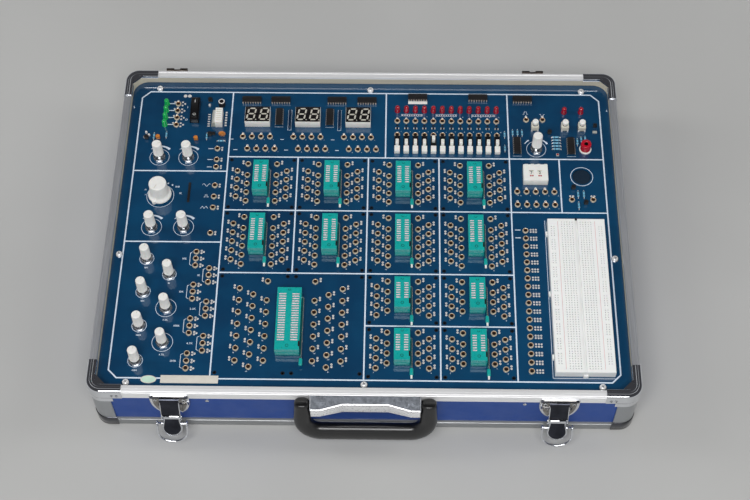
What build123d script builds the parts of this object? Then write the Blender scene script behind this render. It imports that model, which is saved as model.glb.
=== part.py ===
"""Digital logic trainer: an open aluminium-edged case that holds one large circuit board.

Millimetres, +Z up, X to the right and Y to the back as the user sits. The origin is the centre of
the base board's underside. Heights on the board are counted from its top face, board_top.
"""

import os
from math import cos, radians, sin

from build123d import *

os.makedirs("parts", exist_ok=True)

# ---------------------------------------------------------------- case
case_length = 499.0
case_depth = 366.0
case_height = 67.5
corner_radius = 13.0
section_wall = 1.2          # wall of the aluminium sections
section_width = 7.0         # width of the channel along the top
upper_section_height = 12.3
lower_section_height = 13.1
lower_web_width = 5.6
inner_lip = 3.0
groove_drop = 1.5           # groove below the top edge of the upper section
groove_height = 0.5
groove_depth = 0.5
seat_gap = 0.1              # clearance between pieces that seat on each other
panel_thickness = 4.4
post_leg = 20.0
cap_sheet = 0.8
cap_leg = 32.0
cap_drop = 18.5             # how far the outer flange of a top cap comes down
cap_gusset = 9.0
base_thickness = 5.0

# ---------------------------------------------------------------- board and its ledge
rim_above_board = 10.5
board_top = case_height - rim_above_board
board_thickness = 2.0
lining_thickness, lining_gap = 0.8, 0.2
board_inset = section_wall + 2 * seat_gap + panel_thickness + lining_thickness + lining_gap
board_length = case_length - 2 * board_inset
board_depth = case_depth - 2 * board_inset
drawn_board = (485.4, 352.4)        # board size that the layout below is written for
board_corner = 15.0
ledge_width = 14.0
ledge_height = 15.0
screw_head_radius = 2.9
screw_head_height = 2.6
screw_shank_radius = 1.5
screw_hole_radius = 1.7
screw_pilot_radius = screw_shank_radius + 0.05
screw_depth = 9.0
cover_hole_radius = 1.1



def across(x):
    """Place along X on the board, from its place on the drawn board."""
    return x * board_length / drawn_board[0]


def along(y):
    """Place along Y on the board, from its place on the drawn board."""
    return y * board_depth / drawn_board[1]


def places(*spots):
    """Several places on the board."""
    return [(across(x), along(y)) for x, y in spots]


board_screw_spots = places((-215.8, 167.3), (0.3, 167.3), (215.8, 167.3), (-236.3, -32.6), (236.3, -32.6),
                     (-215.8, -168.6), (0.3, -168.6), (215.8, -168.6))

# ---------------------------------------------------------------- module grid printed on the board
cell_pitch = across(70.0)
cell_columns = [across(-105.1) + cell_pitch * i for i in range(4)]
line_a, line_c, line_e, line_f, line_bottom = [along(y) for y in (83.0, 19.6, -51.4, -107.5, -163.7)]
cell_line_x = [across(-140.05) + cell_pitch * i for i in range(5)]
cover_hole_inset_x, cover_hole_inset_y = 3.9, 3.8

# ---------------------------------------------------------------- lever sockets
pin_pitch = 2.54
socket_end_margin = 15.0    # socket length beyond its pin rows
socket_rear_margin = 7.4
socket_width = 14.8
socket_wide_width = 22.6
socket_height = 12.0
socket_base_height = 6.2
socket_joint_gap = 0.2      # between the base and the sliding top
socket_offset = -0.5        # the socket sits left of its cell's centre
slot_row = 7.62
slot_row_wide = 12.2
slot_length, slot_length_wide = 4.0, 6.8
slot_width, slot_depth = 1.2, 2.5
lever_wire_radius = 0.9
lever_clearance = 0.05
lever_height = 4.3          # lever pin above the board, inside the base
lever_setback = 7.0         # lever pin ahead of the socket's rear end
lever_side_gap = 0.5
lever_pin_depth = 4.0
lever_grip_start = 5.0      # ahead of the socket's front end
lever_grip_length = 7.2
lever_grip_size = 3.5
lever_tip = 3.2

# name, pin count, y of the rear end, column centres
socket_rows = [
    ("first", 16, along(71.6), cell_columns),
    ("second", 20, along(9.2), cell_columns),
    ("third", 14, along(-60.6), cell_columns[2:]),
    ("fourth", 14, along(-115.6), cell_columns[2:]),
    ("wide", 40, along(-73.6), [(cell_columns[0] + cell_columns[1]) / 2]),
]

# ---------------------------------------------------------------- wire terminals
terminal_radius = 2.9
terminal_bore = 1.5
terminal_height = 1.5
terminal_floor = 0.2
terminal_pitch = 10.16
inner_offset, outer_offset = 14.3, 24.4
wide_pitch = 12.7
wide_offsets = (22.4, 35.4, 48.5)

# supply terminal, first inner, inner count, first outer, outer count
terminal_rows = {
    "first": (74.1, 60.7, 4, 65.7, 4),
    "second": (11.3, -1.4, 5, 3.7, 5),
    "third": (-59.8, -71.1, 3, -65.8, 4),
    "fourth": (-114.5, -126.0, 3, -120.9, 4),
}

# ---------------------------------------------------------------- displays, chips and lamps
display_length, display_depth, display_height = 25.2, 19.0, 9.4
display_pitch = across(50.8)
display_spots = [(across(-112.9) + display_pitch * i, along(129.6)) for i in range(3)]
chip_width, chip_height, chip_stand = 6.4, 3.3, 1.0
chip_leg_width, chip_leg_out = 0.9, 0.9
chip_legs = 8
chip_length = chip_legs * pin_pitch - 1.0
chips_across = places((-120.3, 152.9), (-90.7, 152.9), (-33.4, 152.9), (-2.9, 152.9), (48.7, 157.6),
                      (110.0, 157.6), (155.2, 156.0))
chips_along = places((-91.3, 131.6), (-40.2, 131.6), (148.0, 98.0), (201.6, 98.0))
lamp_radius, lamp_flange_radius = 2.4, 2.85
lamp_flange_height, lamp_height = 1.0, 8.2
supply_lamp_x = across(-206.9)
supply_terminal_x = across(-195.3)
supply_pitch = along(8.8)
supply_ys = [along(121.6) + supply_pitch * i for i in range(4)]
logic_pitch = across(9.09)
logic_columns = [across(28.2) + logic_pitch * i for i in range(12)]
logic_lamp_y = along(141.4)
pulse_lamp_spots = places((196.9, 141.2), (213.8, 141.2))

# ---------------------------------------------------------------- slide switches
slide_body_width, slide_body_length, slide_body_height = 5.4, 19.0, 5.0
slide_front_y = along(88.2)
slide_front_block = 7.0
slide_well_floor = 2.4
slide_well_wall = 0.6
slide_rear_wall = 1.0
slide_lever_width, slide_lever_length, slide_lever_top = 3.2, 4.8, 9.4
slide_lever_foot = 0.4      # lever clear of the well floor
slide_travel = 4.4
slide_rest_gap = 0.5        # lever clear of the well's front end at rest
raised_switch = 4           # the switch that stands in its other position

# ---------------------------------------------------------------- push buttons
button_spots = places((166.6, 121.2), (196.6, 121.2), (213.6, 121.2))
button_body_size, button_body_height = 7.4, 6.6
button_cap_radius, button_stem_radius = 3.1, 1.9
button_cap_top, button_cap_length = 12.6, 4.2
button_travel = 1.2
button_clearance = 0.05
button_stem_depth = 4.0

# ---------------------------------------------------------------- knobs and their controls
knob_radius, knob_length = 5.0, 16.5
plain_knob_bottom = 7.1
slim_knob_radius, slim_knob_bottom = 4.75, 5.0
knob_edge = 0.7
shaft_radius = 3.0
shaft_grip_length = 9.0     # shaft inside its knob
bushing_radius, bushing_height = 3.6, 4.2
bushing_clearance = 0.05
nut_across, nut_height = 11.0, 2.2
washer_radius, washer_height = 6.0, 0.6
control_radius, control_depth = 8.0, 9.0
control_hole_radius = 3.8
selector_skirt_radius, selector_skirt_bottom, selector_skirt_height = 11.4, 2.9, 2.6
selector_body_radius, selector_top = 9.0, 22.6
selector_pointer_reach, selector_pointer_width = 13.4, 4.0
selector_pointer_angle = 245.0

supply_knobs = places((-208.5, 81.6), (-179.7, 81.6))
function_knobs = places((-208.5, -1.2), (-177.5, -1.0))
pulse_knob = (across(167.0), along(95.2))
selector_spot = (across(-203.4), along(35.2))
pot_pitch = 36.4
pot_knobs = places((-209.5, -36.8), (-186.4, -54.0), (-209.5, -36.8 - pot_pitch), (-186.4, -54.0 - pot_pitch),
                   (-209.5, -36.8 - 2 * pot_pitch), (-186.4, -54.0 - 2 * pot_pitch),
                   (-209.5, -36.8 - 3 * pot_pitch))

# ---------------------------------------------------------------- power rocker and code switch
rocker_x, rocker_y = across(-177.6), along(137.8)
rocker_frame_width, rocker_frame_length, rocker_frame_height = 10.6, 27.0, 7.0
rocker_frame_wall = 1.2
rocker_floor = 1.5
rocker_side_gap = 0.3
rocker_pivot_height = 6.2
rocker_tilt = 9.0
rocker_pin_radius = 1.0
code_x, code_y = across(164.5), along(61.7)
code_length, code_depth, code_height = 24.0, 19.4, 8.0
code_wheel_radius, code_wheel_width = 5.6, 6.0
code_wheel_height = 1.9     # wheel axle above the board
code_wheel_pitch = 8.2
code_wall_gap = 0.35
code_axle_radius = 0.9
code_window_length = 5.0
code_opening_length, code_opening_depth = 17.0, 13.0    # opening in the board for the wheels
code_wheel_spots = {"tens": code_x - code_wheel_pitch / 2, "units": code_x + code_wheel_pitch / 2}

# ---------------------------------------------------------------- breadboard, terminal post, speaker
breadboard_x, breadboard_y = across(200.65), along(-75.05)
breadboard_width, breadboard_length, breadboard_height = 54.6, 165.1, 8.5
breadboard_groove_width, breadboard_groove_depth = 2.6, 2.2
breadboard_rail = 9.6
rail_line = 0.5
tab_width, tab_length, tab_height = 4.6, 1.9, 4.0
breadboard_terminals_x, breadboard_terminals_y = across(152.6), along(-1.5)
breadboard_terminal_pitch = along(8.906)
post_x, post_y = across(215.8), along(95.4)
post_radius, post_flange_radius = 5.2, 6.1
post_height, post_flange_height = 10.4, 1.6
post_bore, post_bore_depth = 2.0, 8.0
speaker_x, speaker_y = across(210.4), along(62.4)
speaker_hole_radius = 9.0
speaker_radius, speaker_depth = 14.0, 9.0

# ---------------------------------------------------------------- power supply unit under the board
supply_unit_length, supply_unit_depth, supply_unit_height = 110.0, 78.0, 30.0
supply_unit_x, supply_unit_y = 84.5 - case_length / 2, case_depth / 2 - 78.0

# ---------------------------------------------------------------- hinge halves, catches and handle
hinge_width = 21.4
hinge_xs = (50.6 - case_length / 2, case_length / 2 - 83.2)
hinge_plate, hinge_plate_height = 1.2, 15.0
knuckle_radius, knuckle_bore = 2.4, 1.25
knuckle_length = 7.6
knuckle_drop = 2.6          # knuckle axis below the top of the frame
catch_xs = {"left": -175.2, "right": 176.6}
catch_plate_width, catch_plate_height, catch_plate_sheet = 36.0, 38.0, 1.0
catch_plate_top = case_height - 5.5
ear_gap, ear_sheet = 16.0, 1.0
ear_rise = 26.0
ear_reach = 7.5
catch_pin_radius = 1.2
catch_pin_clearance = 0.05
catch_pivot_out, catch_pivot_z = 5.6, catch_plate_top - 31.0
catch_lever_angle = 27.0    # from straight down, away from the case
catch_lever_length, catch_lever_sheet = 21.0, 1.4
catch_lever_width, catch_lever_end_radius = 15.2, 9.3
catch_roll_radius = 2.4
bail_wire_radius = 1.1
bail_pivot_along = 6.2      # bail eyes from the lever pivot, along the lever
bail_pivot_out = 2.6
bail_half_width = 13.6
bail_length = 20.0
bail_angle = 29.0
bail_pin_clearance = 0.05
handle_x = 2.0
bracket_half_length, bracket_mid_half, bracket_slope_half = 50.0, 20.5, 41.0
bracket_top, bracket_lip_height = case_height - 2.9, 17.0
bracket_reach_mid, bracket_reach_end = 8.0, 13.0
bracket_sheet = 1.4
grip_pivot_out, grip_pivot_z = 7.2, bracket_top - 7.6
grip_half_length, grip_arm_width, grip_side_gap = 64.0, 12.6, 0.5
grip_drop, grip_bar_height, grip_thickness = 41.0, 15.0, 12.6
grip_angle = 17.0           # the grip stands this far out from straight down
grip_corner, grip_inner_corner, grip_edge = 20.0, 7.0, 4.0
grip_pin_radius, grip_pin_clearance = 2.5, 0.05

parts = {}


def keep(name, shape):
    """Label one finished sub-part and write it to its own file."""
    shape.label = name
    export_step(shape, f"parts/{name}.step")
    parts[name] = shape


def copies(piece, spots):
    """A group of equal solids, one at each spot."""
    return Compound(children=[piece.moved(Location(spot)) for spot in spots])


def group(pieces):
    """Different solids that share one node."""
    return Compound(children=list(pieces))


def case_ring(outer_inset, inner_inset):
    """Sketch faces between two rounded rectangles, each set in from the case's outline."""
    with BuildSketch() as ring:
        for inset, mode in ((outer_inset, Mode.ADD), (inner_inset, Mode.SUBTRACT)):
            RectangleRounded(case_length - 2 * inset, case_depth - 2 * inset,
                             max(corner_radius - inset, 1.0), mode=mode)
    return ring.sketch


def mitre_wedge(side):
    """Plan outline of one side of the case, cut at 45 degrees at both corners."""
    reach = 3 * corner_radius
    along, across = (case_length, case_depth) if side in (0, 2) else (case_depth, case_length)
    half, edge = along / 2, -across / 2
    with BuildSketch() as wedge:
        with BuildLine():
            Polyline((-half - 1, edge - 1), (half + 1, edge - 1), (half - reach, edge + reach),
                     (-half + reach, edge + reach), close=True)
        make_face()
    return wedge.sketch.rotate(Axis.Z, 90 * side)


def four_sides(ring, low, high):
    """Cut a ring into the four lengths that meet at the case's mitred corners."""
    lengths = []
    for side in range(4):
        with BuildPart() as length:
            add(ring)
            with BuildSketch(Plane.XY.offset(low - 1)):
                add(mitre_wedge(side))
            extrude(amount=high - low + 2, mode=Mode.INTERSECT)
        lengths.append(length.part)
    return lengths


# ================================================================ case
def make_upper_frame():
    low = case_height - upper_section_height
    with BuildPart() as ring:
        with BuildSketch(Plane.XY.offset(low)):
            add(case_ring(0, section_wall))
        extrude(amount=upper_section_height)
        with BuildSketch(Plane.XY.offset(case_height - section_wall)):
            add(case_ring(0, section_width))
        extrude(amount=section_wall)
        with BuildSketch(Plane.XY.offset(case_height - inner_lip)):
            add(case_ring(section_width - section_wall, section_width))
        extrude(amount=inner_lip)
        with BuildSketch(Plane.XY.offset(case_height - groove_drop - groove_height)):
            add(case_ring(-1, groove_depth))
        extrude(amount=groove_height, mode=Mode.SUBTRACT)
    return group(four_sides(ring.part, low, case_height))


def make_lower_frame():
    with BuildPart() as ring:
        with BuildSketch():
            add(case_ring(0, section_wall))
        extrude(amount=lower_section_height)
        with BuildSketch():
            add(case_ring(0, lower_web_width))
        extrude(amount=section_wall)
    return four_sides(ring.part, 0, lower_section_height)


def corner_band(outer_inset, inner_inset, leg, low, high):
    """The part of a case ring that lies within one front left corner square."""
    with BuildPart() as band:
        with BuildSketch(Plane.XY.offset(low)):
            add(case_ring(outer_inset, inner_inset))
            with Locations((-case_length / 2 + leg - 60, -case_depth / 2 + leg - 60)):
                Rectangle(120, 120, mode=Mode.INTERSECT)
        extrude(amount=high - low)
    return band.part


def to_corners(piece):
    """One corner piece at each corner: the front left one and its three mirror images."""
    right = piece.mirror(Plane.YZ)
    return [piece, right, piece.mirror(Plane.XZ), right.mirror(Plane.XZ)]


def make_corner_post():
    low = lower_section_height + seat_gap
    high = case_height - upper_section_height - seat_gap
    return corner_band(0, section_wall, post_leg, low, high)


def make_side_panels():
    """Four boards that stand in the channels of both frames."""
    low = section_wall + seat_gap
    height = case_height - section_wall - seat_gap - low
    outer = section_wall + seat_gap
    panels = []
    for length, across, turn in ((case_length, case_depth, 0), (case_depth, case_length, 90)):
        with BuildPart() as panel:
            with Locations((0, -across / 2 + outer + panel_thickness / 2, low)):
                Box(length - 2 * corner_radius, panel_thickness, height,
                    align=(Align.CENTER, Align.CENTER, Align.MIN))
        for half_turn in (0, 180):
            panels.append(panel.part.rotate(Axis.Z, turn + half_turn))
    return group(panels)


def make_top_cap():
    """Chrome corner: outer flange, top plate with a raised bead and a gusset, inner flange, rivets."""
    top = case_height + cap_sheet
    with BuildPart() as cap:
        add(corner_band(-cap_sheet, 0, cap_leg, case_height - cap_drop, top))
        add(corner_band(0, section_width + cap_sheet, cap_leg, case_height, top))
        add(corner_band(section_width + seat_gap / 2, section_width + cap_sheet, cap_leg,
                        case_height - inner_lip, case_height))
        inner_x = -case_length / 2 + section_width + cap_sheet
        inner_y = -case_depth / 2 + section_width + cap_sheet
        with BuildSketch(Plane.XY.offset(case_height)):
            with BuildLine():
                Polyline((inner_x - 2, inner_y - 2), (inner_x + cap_gusset, inner_y - 2),
                         (inner_x + cap_gusset, inner_y), (inner_x, inner_y + cap_gusset),
                         (inner_x - 2, inner_y + cap_gusset), close=True)
            make_face()
        extrude(amount=cap_sheet)
        add(corner_band(section_width / 2 - 0.9, section_width / 2 + 0.9, cap_leg - 1, top, top + 0.5))
    return cap.part


def make_cap_rivets():
    """Two small domed rivets in the front flange of a front corner cap."""
    with BuildPart() as rivets:
        for along in (23.6, 27.2):
            with BuildSketch(Plane.XZ.offset(case_depth / 2 + cap_sheet)):
                with Locations((-case_length / 2 + along, case_height - 9.0)):
                    Circle(1.2)
            extrude(amount=0.7)
    return rivets.part


def make_bottom_cap():
    with BuildPart() as cap:
        add(corner_band(-cap_sheet, 0, post_leg + 1, 0, lower_section_height + 1))
        edges = cap.edges().filter_by_position(Axis.Z, -0.01, 0.01)
        outer = edges.filter_by(GeomType.CIRCLE).sort_by(SortBy.RADIUS)[-1]
        chamfer(outer, cap_sheet * 0.6)
    return cap.part


def make_base_board():
    inset = section_wall + seat_gap + panel_thickness + seat_gap
    with BuildPart() as base:
        with BuildSketch():
            RectangleRounded(case_length - 2 * inset, case_depth - 2 * inset, corner_radius - inset)
        extrude(amount=base_thickness)
    return base.part


def make_lining():
    """Pale ledge that the board rests on, and the thin lining above it: four lengths of each between
    four corner blocks."""
    outer = section_wall + 2 * seat_gap + panel_thickness
    half_x = case_length / 2 - outer
    half_y = case_depth / 2 - outer
    board_x = board_length / 2 + lining_gap
    board_y = board_depth / 2 + lining_gap
    ledge_top = board_top - board_thickness
    low = ledge_top - ledge_height
    high = case_height - inner_lip - 3 * seat_gap
    corner = board_corner + 1.0
    pieces = []
    for length, half, board_half, turn in ((board_x, half_y, board_y, 0), (board_y, half_x, board_x, 90)):
        run = 2 * (length - corner)
        with BuildPart() as batten:
            with Locations((0, -half, low)):
                Box(run, half - board_half + ledge_width, ledge_height, align=(Align.CENTER, Align.MIN, Align.MIN))
        with BuildPart() as lining:
            with Locations((0, -half, ledge_top)):
                Box(run, half - board_half, high - ledge_top, align=(Align.CENTER, Align.MIN, Align.MIN))
        for half_turn in (0, 180):
            with BuildPart() as drilled:
                add(batten.part.rotate(Axis.Z, turn + half_turn))
                with Locations(*[(x, y, ledge_top) for x, y in board_screw_spots]):
                    Cylinder(screw_pilot_radius, 2 * screw_depth, mode=Mode.SUBTRACT)
            pieces += [drilled.part, lining.part.rotate(Axis.Z, turn + half_turn)]
    with BuildPart() as block:
        with BuildSketch(Plane.XY.offset(low)):
            with BuildLine():
                Polyline((-half_x, -half_y), (-board_x + corner, -half_y),
                         (-board_x + corner, -board_y + corner), (-half_x, -board_y + corner), close=True)
            make_face()
            chamfer(vertices().group_by(SortBy.DISTANCE)[-1], 4.0)
        extrude(amount=ledge_height)
    with BuildPart() as filler:
        with BuildSketch(Plane.XY.offset(ledge_top)):
            with BuildLine():
                Polyline((-half_x, -half_y), (-board_x + corner, -half_y),
                         (-board_x + corner, -board_y + corner), (-half_x, -board_y + corner), close=True)
            make_face()
            chamfer(vertices().group_by(SortBy.DISTANCE)[-1], 4.0)
            RectangleRounded(2 * board_x, 2 * board_y, board_corner, mode=Mode.SUBTRACT)
        extrude(amount=high - ledge_top)
    return group(pieces + to_corners(block.part) + to_corners(filler.part))


# ================================================================ hinges, catches and handle
def make_hinge_halves():
    """Lift-off hinge halves on the back: a plate with two knuckles on one bore."""
    back = case_depth / 2
    axis_z = case_height - knuckle_drop
    with BuildPart() as half:
        with Locations((0, back + hinge_plate / 2, axis_z)):
            Box(hinge_width, hinge_plate, hinge_plate_height, align=(Align.CENTER, Align.CENTER, Align.MAX))
        for side in (-1, 1):
            middle = side * (hinge_width - knuckle_length) / 2
            with BuildSketch(Plane.YZ.offset(middle - knuckle_length / 2)):
                with Locations((back + knuckle_radius, axis_z)):
                    Circle(knuckle_radius)
            extrude(amount=knuckle_length)
        with BuildSketch(Plane.YZ.offset(-hinge_width)):
            with Locations((back + knuckle_radius, axis_z)):
                Circle(knuckle_bore)
        extrude(amount=2 * hinge_width, mode=Mode.SUBTRACT)
    return copies(half.part, [(x, 0, 0) for x in hinge_xs])


def catch_pivot():
    """Y and Z of the pin on which a catch lever turns."""
    return -case_depth / 2 - catch_plate_sheet - catch_pivot_out, catch_pivot_z


def make_catch_plates():
    """Base plate with a half-oval foot, two ears and the pin between them."""
    face = -case_depth / 2 - seat_gap / 2
    pivot_y, pivot_z = catch_pivot()
    half_width = catch_plate_width / 2
    foot = catch_plate_top - catch_plate_height
    shoulder = catch_plate_top - 10.0
    with BuildPart() as plate:
        with BuildSketch(Plane.XZ.offset(-face)):
            with BuildLine():
                Polyline((-half_width, shoulder), (-half_width, catch_plate_top), (half_width, catch_plate_top),
                         (half_width, shoulder))
                EllipticalCenterArc((0, shoulder), half_width, shoulder - foot, start_angle=180, arc_size=180)
            make_face()
        extrude(amount=catch_plate_sheet)
        out = face - catch_plate_sheet
        for side in (-1, 1):
            with BuildSketch(Plane.YZ.offset(side * (ear_gap / 2 + ear_sheet / 2) - ear_sheet / 2)):
                with BuildLine():
                    Polyline((out, pivot_z + ear_rise), (out - 1.5, pivot_z + ear_rise),
                             (out - ear_reach - 1.5, pivot_z + 3.0), (out - ear_reach - 1.5, pivot_z - 3.0),
                             (out, pivot_z - 3.0), close=True)
                make_face()
            extrude(amount=ear_sheet)
        with BuildSketch(Plane.YZ.offset(-ear_gap / 2 - ear_sheet)):
            with Locations((pivot_y, pivot_z)):
                Circle(catch_pin_radius)
        extrude(amount=ear_gap + 2 * ear_sheet)
        bridge_top = pivot_z + ear_rise - 1.0
        bridge_foot = pivot_z + 7.0
        with BuildSketch(Plane.YZ.offset(-ear_gap / 2)):
            with BuildLine():
                Polyline((out - 0.3, bridge_top), (out - 1.4, bridge_top), (out - ear_reach, bridge_foot),
                         (out - ear_reach + 1.2, bridge_foot - 0.6), close=True)
            make_face()
        extrude(amount=ear_gap)
        with Locations(*[(x, out, catch_plate_top - 5.0) for x in (-13.0, 13.0)]):
            Cylinder(2.2, 1.0, rotation=(90, 0, 0), align=(Align.CENTER, Align.CENTER, Align.MIN))
    return copies(plate.part, [(x, 0, 0) for x in catch_xs.values()])


def make_catch_lever(x):
    """Lever of a catch: a rolled eye on the pin and a flat plate with a round end, with two bail pins."""
    pivot_y, pivot_z = catch_pivot()
    lean = Plane(origin=(x, pivot_y, pivot_z), x_dir=(1, 0, 0),
                 z_dir=(0, -cos(radians(catch_lever_angle)), sin(radians(catch_lever_angle))))
    eye_half = ear_gap / 2 - 0.3
    with BuildPart() as lever:
        with BuildSketch(lean.offset(catch_roll_radius - catch_lever_sheet)):
            with BuildLine():
                reach = catch_lever_length - catch_lever_end_radius
                Polyline((-catch_lever_width / 2, 0), (-catch_lever_width / 2, -4.0),
                         (-catch_lever_end_radius, -reach))
                CenterArc((0, -reach), catch_lever_end_radius, 180, 180)
                Polyline((catch_lever_end_radius, -reach), (catch_lever_width / 2, -4.0),
                         (catch_lever_width / 2, 0), (-catch_lever_width / 2, 0))
            make_face()
        extrude(amount=catch_lever_sheet)
        with BuildSketch(Plane.YZ.offset(x - eye_half)):
            with Locations((pivot_y, pivot_z)):
                Circle(catch_roll_radius)
        extrude(amount=2 * eye_half)
        with BuildSketch(Plane.YZ.offset(x - ear_gap)):
            with Locations((pivot_y, pivot_z)):
                Circle(catch_pin_radius + catch_pin_clearance)
        extrude(amount=2 * ear_gap, mode=Mode.SUBTRACT)
        bail_y, bail_z = bail_pivot()
        with BuildSketch(Plane.YZ.offset(x - bail_half_width - bail_wire_radius)):
            with Locations((bail_y, bail_z)):
                Circle(bail_wire_radius)
        extrude(amount=2 * (bail_half_width + bail_wire_radius))
    return lever.part


def bail_pivot():
    """Y and Z of the pins on which a bail turns, at rest."""
    pivot_y, pivot_z = catch_pivot()
    lean = radians(catch_lever_angle)
    return (pivot_y - bail_pivot_along * sin(lean) - bail_pivot_out * cos(lean),
            pivot_z - bail_pivot_along * cos(lean) + bail_pivot_out * sin(lean))


def make_bail(x):
    """Wire loop of a catch, with an eye at each end on the lever's pins."""
    bail_y, bail_z = bail_pivot()
    hang = Plane(origin=(x, bail_y, bail_z), x_dir=(1, 0, 0),
                 z_dir=(0, -cos(radians(bail_angle)), sin(radians(bail_angle))))
    eye_outer = 2 * bail_wire_radius + 0.6
    eye_half = 1.35
    with BuildPart() as bail:
        with BuildLine(hang) as route:
            start = -eye_outer + 0.4
            low_corner = -bail_length + bail_half_width * 0.75
            Line((-bail_half_width, start), (-bail_half_width, low_corner))
            EllipticalCenterArc((0, low_corner), bail_half_width, bail_length + low_corner,
                                start_angle=180, arc_size=180)
            Line((bail_half_width, low_corner), (bail_half_width, start))
        with BuildSketch(Plane(origin=route.line @ 0, z_dir=route.line % 0)):
            Circle(bail_wire_radius)
        sweep(path=route.line)
        for side in (-1, 1):
            with BuildSketch(Plane.YZ.offset(x + side * bail_half_width - eye_half)):
                with Locations((bail_y, bail_z)):
                    Circle(eye_outer)
            extrude(amount=2 * eye_half)
        with BuildSketch(Plane.YZ.offset(x - 2 * bail_half_width)):
            with Locations((bail_y, bail_z)):
                Circle(bail_wire_radius + bail_pin_clearance)
        extrude(amount=4 * bail_half_width, mode=Mode.SUBTRACT)
    return bail.part


def bracket_outline(inset):
    """Plan of the handle bracket: shallow in the middle, deep at both ends."""
    face = -case_depth / 2
    mid, end = bracket_reach_mid - inset, bracket_reach_end - inset
    half = bracket_half_length - inset
    xs = (-half, -bracket_slope_half, -bracket_mid_half, bracket_mid_half, bracket_slope_half, half)
    ys = (end, end, mid, mid, end, end)
    front = [(handle_x + x, face - y) for x, y in zip(xs, ys)]
    return [(handle_x - half, face)] + front + [(handle_x + half, face)]


def make_handle_bracket():
    """Bent sheet with a top plate, a front lip and end cheeks that carry the grip's pins."""
    low = bracket_top - bracket_lip_height
    face = -case_depth / 2
    with BuildPart() as bracket:
        with BuildSketch(Plane.XY.offset(low)):
            with BuildLine():
                Polyline(*bracket_outline(0), close=True)
            make_face()
        extrude(amount=bracket_lip_height)
        with BuildSketch(Plane.XY.offset(low)):
            with BuildLine():
                Polyline(*bracket_outline(bracket_sheet), close=True)
            make_face()
        extrude(amount=bracket_lip_height - bracket_sheet, mode=Mode.SUBTRACT)
        with Locations((handle_x, face, low)):
            Box(2 * bracket_half_length, bracket_sheet, bracket_lip_height,
                align=(Align.CENTER, Align.MAX, Align.MIN))
        with Locations((handle_x, face, bracket_top)):
            Box(4 * bracket_half_length, seat_gap, 4 * bracket_lip_height, mode=Mode.SUBTRACT)
        pin_end = grip_side_gap + grip_arm_width - 1.5
        for side in (-1, 1):
            start = handle_x + side * bracket_half_length
            with BuildSketch(Plane.YZ.offset(min(start, start + side * pin_end))):
                with Locations((-case_depth / 2 - grip_pivot_out, grip_pivot_z)):
                    Circle(grip_pin_radius)
            extrude(amount=pin_end)
    return bracket.part


def make_handle_grip():
    """Black moulded grip: two arms on the bracket's pins and a thick rounded bar."""
    pivot_y = -case_depth / 2 - grip_pivot_out
    lean = Plane(origin=(handle_x, pivot_y, grip_pivot_z), x_dir=(1, 0, 0),
                 z_dir=(0, -cos(radians(grip_angle)), sin(radians(grip_angle))))
    half = grip_half_length
    inner = bracket_half_length + grip_side_gap
    arm_top = grip_thickness / 2
    with BuildPart() as grip:
        with BuildSketch(lean.offset(-grip_thickness / 2)):
            with BuildLine():
                FilletPolyline((-half, arm_top), (-half, -grip_drop), (half, -grip_drop), (half, arm_top),
                               radius=grip_corner)
                FilletPolyline((half, arm_top), (inner, arm_top), (inner, grip_bar_height - grip_drop),
                               (-inner, grip_bar_height - grip_drop), (-inner, arm_top), (-half, arm_top),
                               radius=[0.5, grip_inner_corner, grip_inner_corner, 0.5])
            make_face()
        extrude(amount=grip_thickness)
        tops = grip.faces().sort_by(Axis.Z)[-2:]
        fillet(tops.edges().filter_by(Axis.X), grip_thickness / 2 - 0.2)
        bar = grip.edges().filter_by(Axis.X).filter_by_position(Axis.Z, -10, grip_pivot_z - 10)
        fillet(bar, grip_edge)
        pin_hole = grip_pin_radius + grip_pin_clearance
        with BuildSketch(Plane.YZ.offset(handle_x - inner - grip_arm_width)):
            with Locations((pivot_y, grip_pivot_z)):
                Circle(pin_hole)
        extrude(amount=2 * (inner + grip_arm_width), mode=Mode.SUBTRACT)
    return grip.part


# ================================================================ board
def cover_holes():
    """Small holes near the corners of the socket cells."""
    spots = []
    rows = ((line_a, line_c), (line_c, line_e), (line_e, line_f), (line_f, line_bottom))
    for index, (high, low) in enumerate(rows):
        columns = range(4) if index < 2 else range(2, 4)
        for column in columns:
            left, right = cell_line_x[column], cell_line_x[column + 1]
            for y in (high - cover_hole_inset_y, low + cover_hole_inset_y):
                for x in (left + cover_hole_inset_x, right - cover_hole_inset_x):
                    spots.append((x, y))
    wide_left, wide_middle, wide_right = cell_line_x[0], cell_line_x[1], cell_line_x[2]
    wide_xs = (wide_left + cover_hole_inset_x, wide_middle - cover_hole_inset_x,
               wide_middle + cover_hole_inset_x, wide_right - cover_hole_inset_x)
    for y in (line_e - cover_hole_inset_y, line_bottom + along(6.4)):
        spots += [(x, y) for x in wide_xs]
    return spots


def make_circuit_board():
    low = board_top - board_thickness
    controls = supply_knobs + function_knobs + pot_knobs + [pulse_knob, selector_spot]
    with BuildPart() as board:
        with BuildSketch(Plane.XY.offset(low)):
            RectangleRounded(board_length, board_depth, board_corner)
            with Locations(*board_screw_spots):
                Circle(screw_hole_radius, mode=Mode.SUBTRACT)
            with Locations(*controls):
                Circle(control_hole_radius, mode=Mode.SUBTRACT)
            with Locations(*cover_holes()):
                Circle(cover_hole_radius, mode=Mode.SUBTRACT)
            with Locations((speaker_x, speaker_y)):
                Circle(speaker_hole_radius, mode=Mode.SUBTRACT)
            with Locations((code_x, code_y)):
                Rectangle(code_opening_length, code_opening_depth, mode=Mode.SUBTRACT)
        extrude(amount=board_thickness)
    return board.part


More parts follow.
